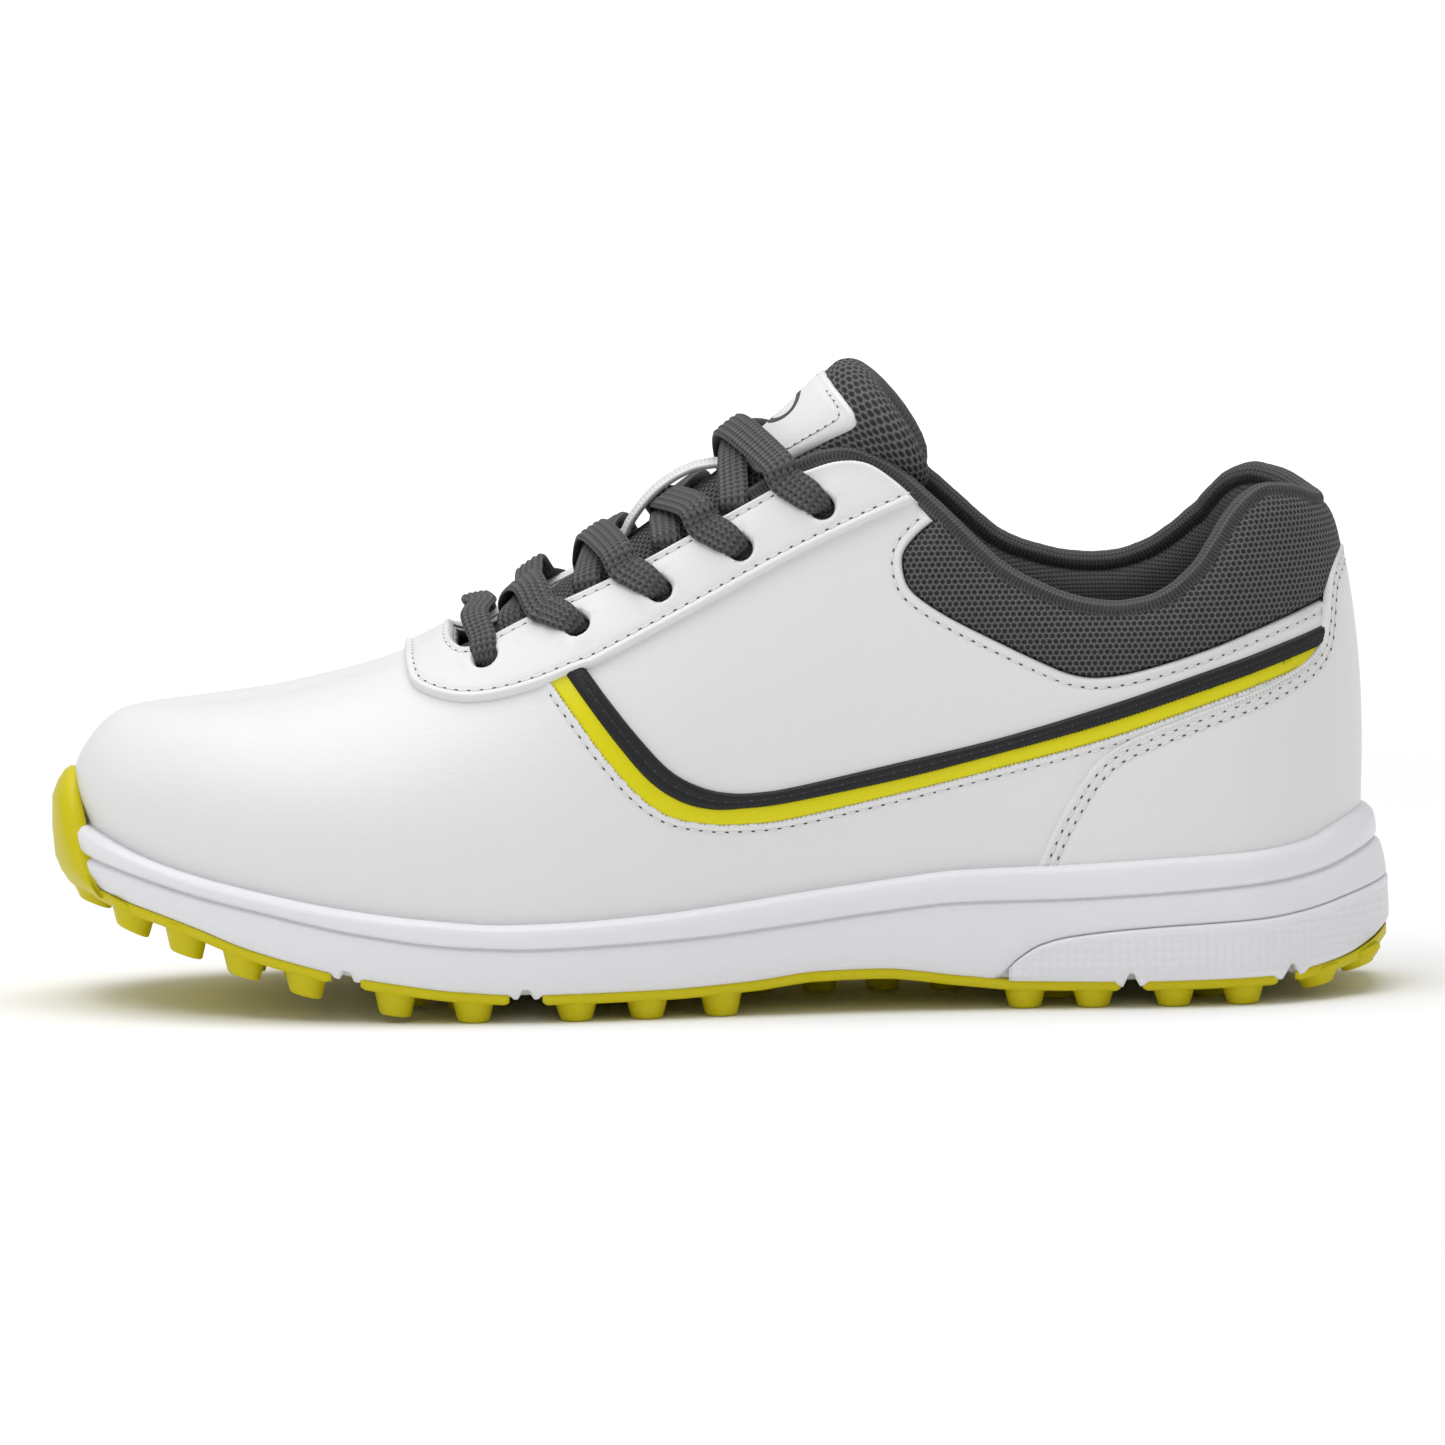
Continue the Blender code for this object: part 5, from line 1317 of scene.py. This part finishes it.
def build_midsole():
    x = RING_X
    bottom, groove, top = midsole_bottom(x) - 0.1, rim_groove(x), feather(x)
    wrap = np.where(x > 57.0, 1.0, 0.0)
    ledge = np.where(x > 57.0, wrap_groove(x), bottom + 1.7)
    cut_in = 1.2 * wrap
    notch = notched(x)
    mid = 0.5 * (ledge + groove)
    # From the underside up: how far out, how much of the heel's flare it takes, and its height.
    profile = [
        (-14.0, 0.0, bottom), (-3.4 - cut_in, 1.0, bottom), (-1.6 - cut_in, 1.0, bottom + notch * 0.8),
        (-0.7 - cut_in, 1.0, bottom + 0.25 + notch * 0.9),
        (-0.25 - cut_in, 1.0, bottom + 0.8 + np.maximum(0.0, notch * 0.6)),
        (-cut_in, 1.0, np.maximum(ledge - 0.4, bottom + 1.3)), (0.1 - 0.3 * wrap, 0.95, ledge + 0.1),
        (0.25, 0.9, ledge + 0.5), (0.45, 0.82, 0.75 * ledge + 0.25 * groove), (0.5, 0.72, mid),
        (0.45, 0.62, 0.25 * ledge + 0.75 * groove), (0.25, 0.56, groove - 0.8), (-0.05, 0.5, groove - 0.35),
        (-0.75, 0.42, groove - 0.1), (-0.8, 0.40, groove + 0.15), (0.0, 0.36, groove + 0.4),
        (0.5, 0.32, groove + 0.9), (0.8, 0.28, 0.75 * groove + 0.25 * top),
        (0.95, 0.2, 0.5 * groove + 0.5 * top), (0.85, 0.1, 0.25 * groove + 0.75 * top),
        (0.45, 0.03, top - 1.1), (-0.1, 0.0, top - 0.5), (-0.9, 0.0, top - 0.2), (-1.7, 0.0, top - 0.25),
        (-2.3, 0.0, top - 0.6), (-6.0, 0.0, top - 0.6)]
    rings = [level_ring(offset + share * flare(x), height) for offset, share, height in profile]
    made = closed_rings("midsole_unit", rings, [FOAM_SMOOTH, FOAM_PEBBLE], lambda i: 1 if 1 <= i <= 11 else 0)
    stands_for(["midsole"])


def build_wrap():
    keep = np.where(RING_X > WRAP_START)[0]
    x = RING_X[keep]
    low = midsole_bottom(x) - 0.05
    high = np.maximum(wrap_groove(x) - 0.25, midsole_bottom(x) + 0.6)
    notch = notched(x)
    share = np.clip((x - WRAP_START) / 4, 0, 1)
    profile = [(-2.2, 0.0), (-0.5, 0.0), (0.05, 0.04), (0.3, 0.1), (0.42, 0.3), (0.45, 0.5), (0.42, 0.7),
               (0.5, 0.86), (0.62, 0.93), (0.45, 0.985), (0.0, 1.0), (-2.2, 1.0)]
    sections = []
    for offset, rise in profile:
        px, py = plan(RING_ANGLES[keep], RING_SIDES[keep], offset * share + flare(x) * (1 - 0.1 * rise))
        sections.append(np.stack([px, py, low + (high - low) * rise + notch * (1 - rise) ** 8], -1))
    rows = np.stack(sections, 1)
    n, k = rows.shape[:2]
    faces = capped_faces(n, k)
    length = measured(rows[:, 4])
    uv = np.stack([np.repeat(length, k), rows[:, :, 2].reshape(-1)], -1)
    which = [1 if 3 <= (i % k) <= 6 else 0 for i in range((n - 1) * k)] + [0, 0]
    made = facing_out(add_mesh("heel_wrap_skin", rows.reshape(-1, 3), faces, [FOAM_SMOOTH, FOAM_DIAMOND], uv,
                               which))
    stands_for(["heel_wrap"])


def unflared(x):
    return x - HEEL_FLARE * heel_share(x - 0.5 * HEEL_FLARE * heel_share(x))


def pad_half(side, x):
    near = unflared(x)
    angle = angle_at(near)
    width = np.where(side < 0, lateral_width(angle), medial_width(angle))
    return np.maximum(1.2, width - 0.5 + 0.5 * flare(near))


def lug_places(start, end):
    """Places of the lugs on a pad that runs from start to end."""
    found = []
    for side in (-1, 1):
        found += [(x, side * (pad_half(side, x) - 5.2)) for x in EDGE_LUGS]
        found += [(x, 0.46 * side * pad_half(side, x)) for x in HALFWAY_LUGS]
        found += [(TOE_LUG_X, side * 10.5)]
    found += [(x, 0.0) for x in CENTRE_LUGS]
    return [(x, float(centre_shift(x) + y)) for x, y in found if start + 3.0 < x < end - 2.0]


def lug_shape(x, y, sides=28):
    """A tapered lug with a flared foot and a rounded tip."""
    tip = float(lug_tips(x))
    top = float(midsole_bottom(unflared(x))) - 1.6
    tall = top - tip
    profile = [(0.0, top + 1.0), (4.6, top + 1.0), (4.75, top - 0.1), (4.35, top - 0.45), (4.15, top - 0.9),
               (3.75, tip + 0.45 * tall), (3.4, tip + 0.75), (3.25, tip + 0.3), (2.9, tip + 0.06), (2.3, tip),
               (1.9, tip + 0.02), (0.0, tip + 0.05)]
    turn = np.linspace(0, 2 * math.pi, sides, endpoint=False)
    slant = float(lug_tips(x + 3) - lug_tips(x - 3)) / 6
    points = []
    for r, z in profile:
        ring = np.stack([x + r * np.cos(turn), y + r * np.sin(turn), np.full(sides, z)], -1)
        ring[:, 2] += (ring[:, 0] - x) * slant
        points.append(ring)
    return np.vstack(points), grid_faces(len(profile), sides)


def build_pad(name, start, end):
    count = int((end - start) / 0.9)
    share = np.linspace(0, 1, count + 1)
    toe, edge = name == "outsole_toe_pad", name == "outsole_edge_pad"
    if toe:
        share = 1.0 - np.cos(0.5 * math.pi * share)
    if edge:
        share = np.sin(0.5 * math.pi * share)
    x = start + (end - start) * share
    top = midsole_bottom(unflared(x)) + 0.15
    ends = end - x if toe else x - start if edge else np.minimum(x - start, end - x)
    lift = 0.5 * (1 - np.sqrt(1 - (1 - np.clip(ends / 0.8, 0, 1)) ** 2))
    low = top - 2.25
    mid_y = centre_shift(x)
    left, right = mid_y - pad_half(-1, x), mid_y + pad_half(1, x)
    profile = [(0.3, 0.0), (0.0, 0.3), (0.05, 0.9), (0.12, 1.45), (0.45, 1.95), (1.1, 2.25)]
    shares = np.linspace(0.1, 0.9, 9)
    columns = [(left + inset, top - drop + lift * (drop > 0.5)) for inset, drop in profile]
    columns += [(left * (1 - s) + right * s, low + lift) for s in shares]
    columns += [(right - inset, top - drop + lift * (drop > 0.5)) for inset, drop in profile[::-1]]
    columns += [(left * s + right * (1 - s), top) for s in shares]
    rows = np.stack([np.stack([x, y, z], -1) for y, z in columns], 1)
    n, k = rows.shape[:2]
    points = [rows.reshape(-1, 3)]
    faces = capped_faces(n, k)
    shapes = [lug_shape(*place) for place in lug_places(start, end)]
    if toe:
        shapes.append(bumper_shape())
    for p, f in shapes:
        faces += shifted(f, points)
        points.append(p)
    made = facing_out(add_mesh(name + "_rubber", np.vstack(points), faces, [LIME], weld=0.0005))
    stands_for([name])


BUMPER_HEIGHTS = [21.0, 25.0, 29.0, 34.0, 40.0, 48.0]
BUMPER_REACH = [0.34, 0.31, 0.25, 0.215, 0.185, 0.15]   # half of its width, as an angle of the plan


def bumper_shape():
    """The toe shield, thick in the middle, rounded along its edges and narrower towards its top."""
    steps = 40
    rows = []
    for k in range(-steps, steps + 1):
        side = -1.0 if k <= 0 else 1.0
        t = abs(k) / steps
        fade = max(0.0, 1.0 - t ** 5) ** 0.5
        base = float(midsole_bottom(float(plan(0.30 * t, side, 0.0)[0])))
        crown = 37.6 + 10.4 * max(0.0, 1.0 - t ** 3.2) ** 0.6
        profile = [(-3.0, base - 1.9), (0.4, base - 1.6), (1.2 + 0.6 * fade, base + 0.6),
                   (1.2 + 1.7 * fade, base + 3.4), (1.2 + 2.2 * fade, 0.5 * (base + crown) - 1.5),
                   (1.2 + 2.1 * fade, crown - 6.0), (1.0 + 1.6 * fade, crown - 3.0),
                   (0.6 + 1.0 * fade, crown - 1.0), (0.1 + 0.4 * fade, crown - 0.15), (-0.9, crown - 0.2),
                   (-1.6, crown - 2.0), (-1.2, 34.0), (-1.0, base + 2.0), (-3.0, base)]
        row = []
        for offset, z in profile:
            reach = float(np.interp(z, BUMPER_HEIGHTS, BUMPER_REACH))
            fx, fy = plan(reach * t, side, 0.0)
            gx, gy = plan(reach * t, side, 1.0)
            lean = max(0.0, crown - 44.0) / 4.0 * max(0.0, z - 42.0) / 6.0
            row.append((float(fx + (gx - fx) * (offset - lean)), float(fy + (gy - fy) * (offset - lean)), z))
        rows.append(row)
    rows = np.array(rows)
    n, k = rows.shape[:2]
    faces = capped_faces(n, k)
    return rows.reshape(-1, 3), faces


def build_sockliner():
    x = RING_X
    h = feather(x)
    rings = [level_ring(-9.2, h + 3.1), level_ring(-9.0, h + 3.4), level_ring(-9.0, h + 6.4),
             level_ring(-9.25, h + 7.1), level_ring(-9.8, h + 7.5), level_ring(-10.6, h + 7.6)]
    made = closed_rings("sockliner_cushion", rings, [SOCK], None, 14, 0.0, "sockliner")
    stands_for(["sockliner"])


build_midsole()
build_wrap()
for pad_name, (pad_start, pad_end) in PADS.items():
    build_pad(pad_name, pad_start, pad_end)
build_sockliner()

for node_name, finish in (("insole_board", BOARD), ("shank", BOARD), ("aglet_lateral", PLASTIC),
                          ("aglet_medial", PLASTIC)):
    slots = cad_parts[node_name].data.materials
    slots.clear()
    slots.append(finish)


# ---------------------------------------------------------------- stage, light and camera
WORLD_LIGHT = 0.55
KEY_WATTS = 5.0
TOP_WATTS = 9.0
LIGHT_AIM = Vector((0, 0, 0.05))
FLOOR_GLOW = 0.5            # emission of the floor away from the shoe
GLOW_RANGE = 0.3, 1.1       # metres from the shoe between which it rises


def stage():
    """The floor, which glows a little further out so that it stays pale, and the studio's even light."""
    data = bpy.data.meshes.new("floor")
    half = 30.0
    corners = [(-half, -half, 0), (half, -half, 0), (half, half, 0), (-half, half, 0)]
    data.from_pydata(corners, [], [(0, 1, 2, 3)])
    floor = bpy.data.objects.new("floor", data)
    bpy.context.scene.collection.objects.link(floor)
    paint = bpy.data.materials.new("floor_white")
    paint.use_nodes = True
    shader = paint.node_tree.nodes["Principled BSDF"]
    shader.inputs["Base Color"].default_value = (0.9, 0.9, 0.895, 1)
    shader.inputs["Roughness"].default_value = 0.8
    shader.inputs["Specular IOR Level"].default_value = 0.1
    shader.inputs["Emission Color"].default_value = (1, 1, 0.995, 1)
    tree = paint.node_tree
    place = node(tree, "TexCoord").outputs["Object"]
    far = vector(tree, "LENGTH", "Value", i0=place)
    glow = span(tree, far, *GLOW_RANGE, 0.0, FLOOR_GLOW)
    tree.links.new(glow, shader.inputs["Emission Strength"])
    data.materials.append(paint)
    world = bpy.data.worlds.new("studio")
    bpy.context.scene.world = world
    world.use_nodes = True
    back = world.node_tree.nodes["Background"]
    back.inputs[0].default_value = (1.0, 1.0, 1.0, 1)
    back.inputs[1].default_value = WORLD_LIGHT


def area_light(name, place, size, power):
    """A soft rectangle of light, aimed at the shoe."""
    data = bpy.data.lights.new(name, "AREA")
    data.shape = "RECTANGLE"
    data.size, data.size_y = size
    data.energy = power
    lamp = bpy.data.objects.new(name, data)
    bpy.context.scene.collection.objects.link(lamp)
    lamp.location = place
    lamp.rotation_mode = "QUATERNION"
    lamp.rotation_quaternion = (LIGHT_AIM - Vector(place)).to_track_quat("-Z", "Y")


CAMERA_TILT = math.radians(7.0)
CAMERA_ROLL = math.radians(0.84)
CAMERA_DISTANCE = 8.0
SENSOR_WIDTH = 36.0
VIEW_WIDTH = 0.2967
NEAR_SIDE = 0.010           # how far in front of the aim the width is measured
CAMERA_AIM = Vector((0.00082, 0.0, 0.0557))


def photo_camera():
    """A long lens, level with the shoe's side and a little above it."""
    data = bpy.data.cameras.new("camera")
    data.sensor_width = SENSOR_WIDTH
    data.lens = SENSOR_WIDTH * (CAMERA_DISTANCE - NEAR_SIDE) / VIEW_WIDTH
    data.clip_start, data.clip_end = 0.05, 200.0
    camera = bpy.data.objects.new("camera", data)
    bpy.context.scene.collection.objects.link(camera)
    turn = Matrix.Rotation(CAMERA_ROLL, 3, "Y")
    forward = Vector((0, math.cos(CAMERA_TILT), -math.sin(CAMERA_TILT)))
    up = turn @ Vector((0, math.sin(CAMERA_TILT), math.cos(CAMERA_TILT)))
    right = forward.cross(up).normalized()
    up = right.cross(forward)
    facing = Matrix((right, up, -forward)).transposed().to_4x4()
    camera.matrix_world = Matrix.Translation(CAMERA_AIM - forward * CAMERA_DISTANCE) @ facing
    bpy.context.scene.camera = camera


stage()
bpy.context.scene.view_settings.view_transform = "Standard"
area_light("key", (-0.45, -0.5, 1.25), (0.8, 0.6), KEY_WATTS)
area_light("top", (0.0, 0.15, 1.3), (1.2, 0.8), TOP_WATTS)
photo_camera()
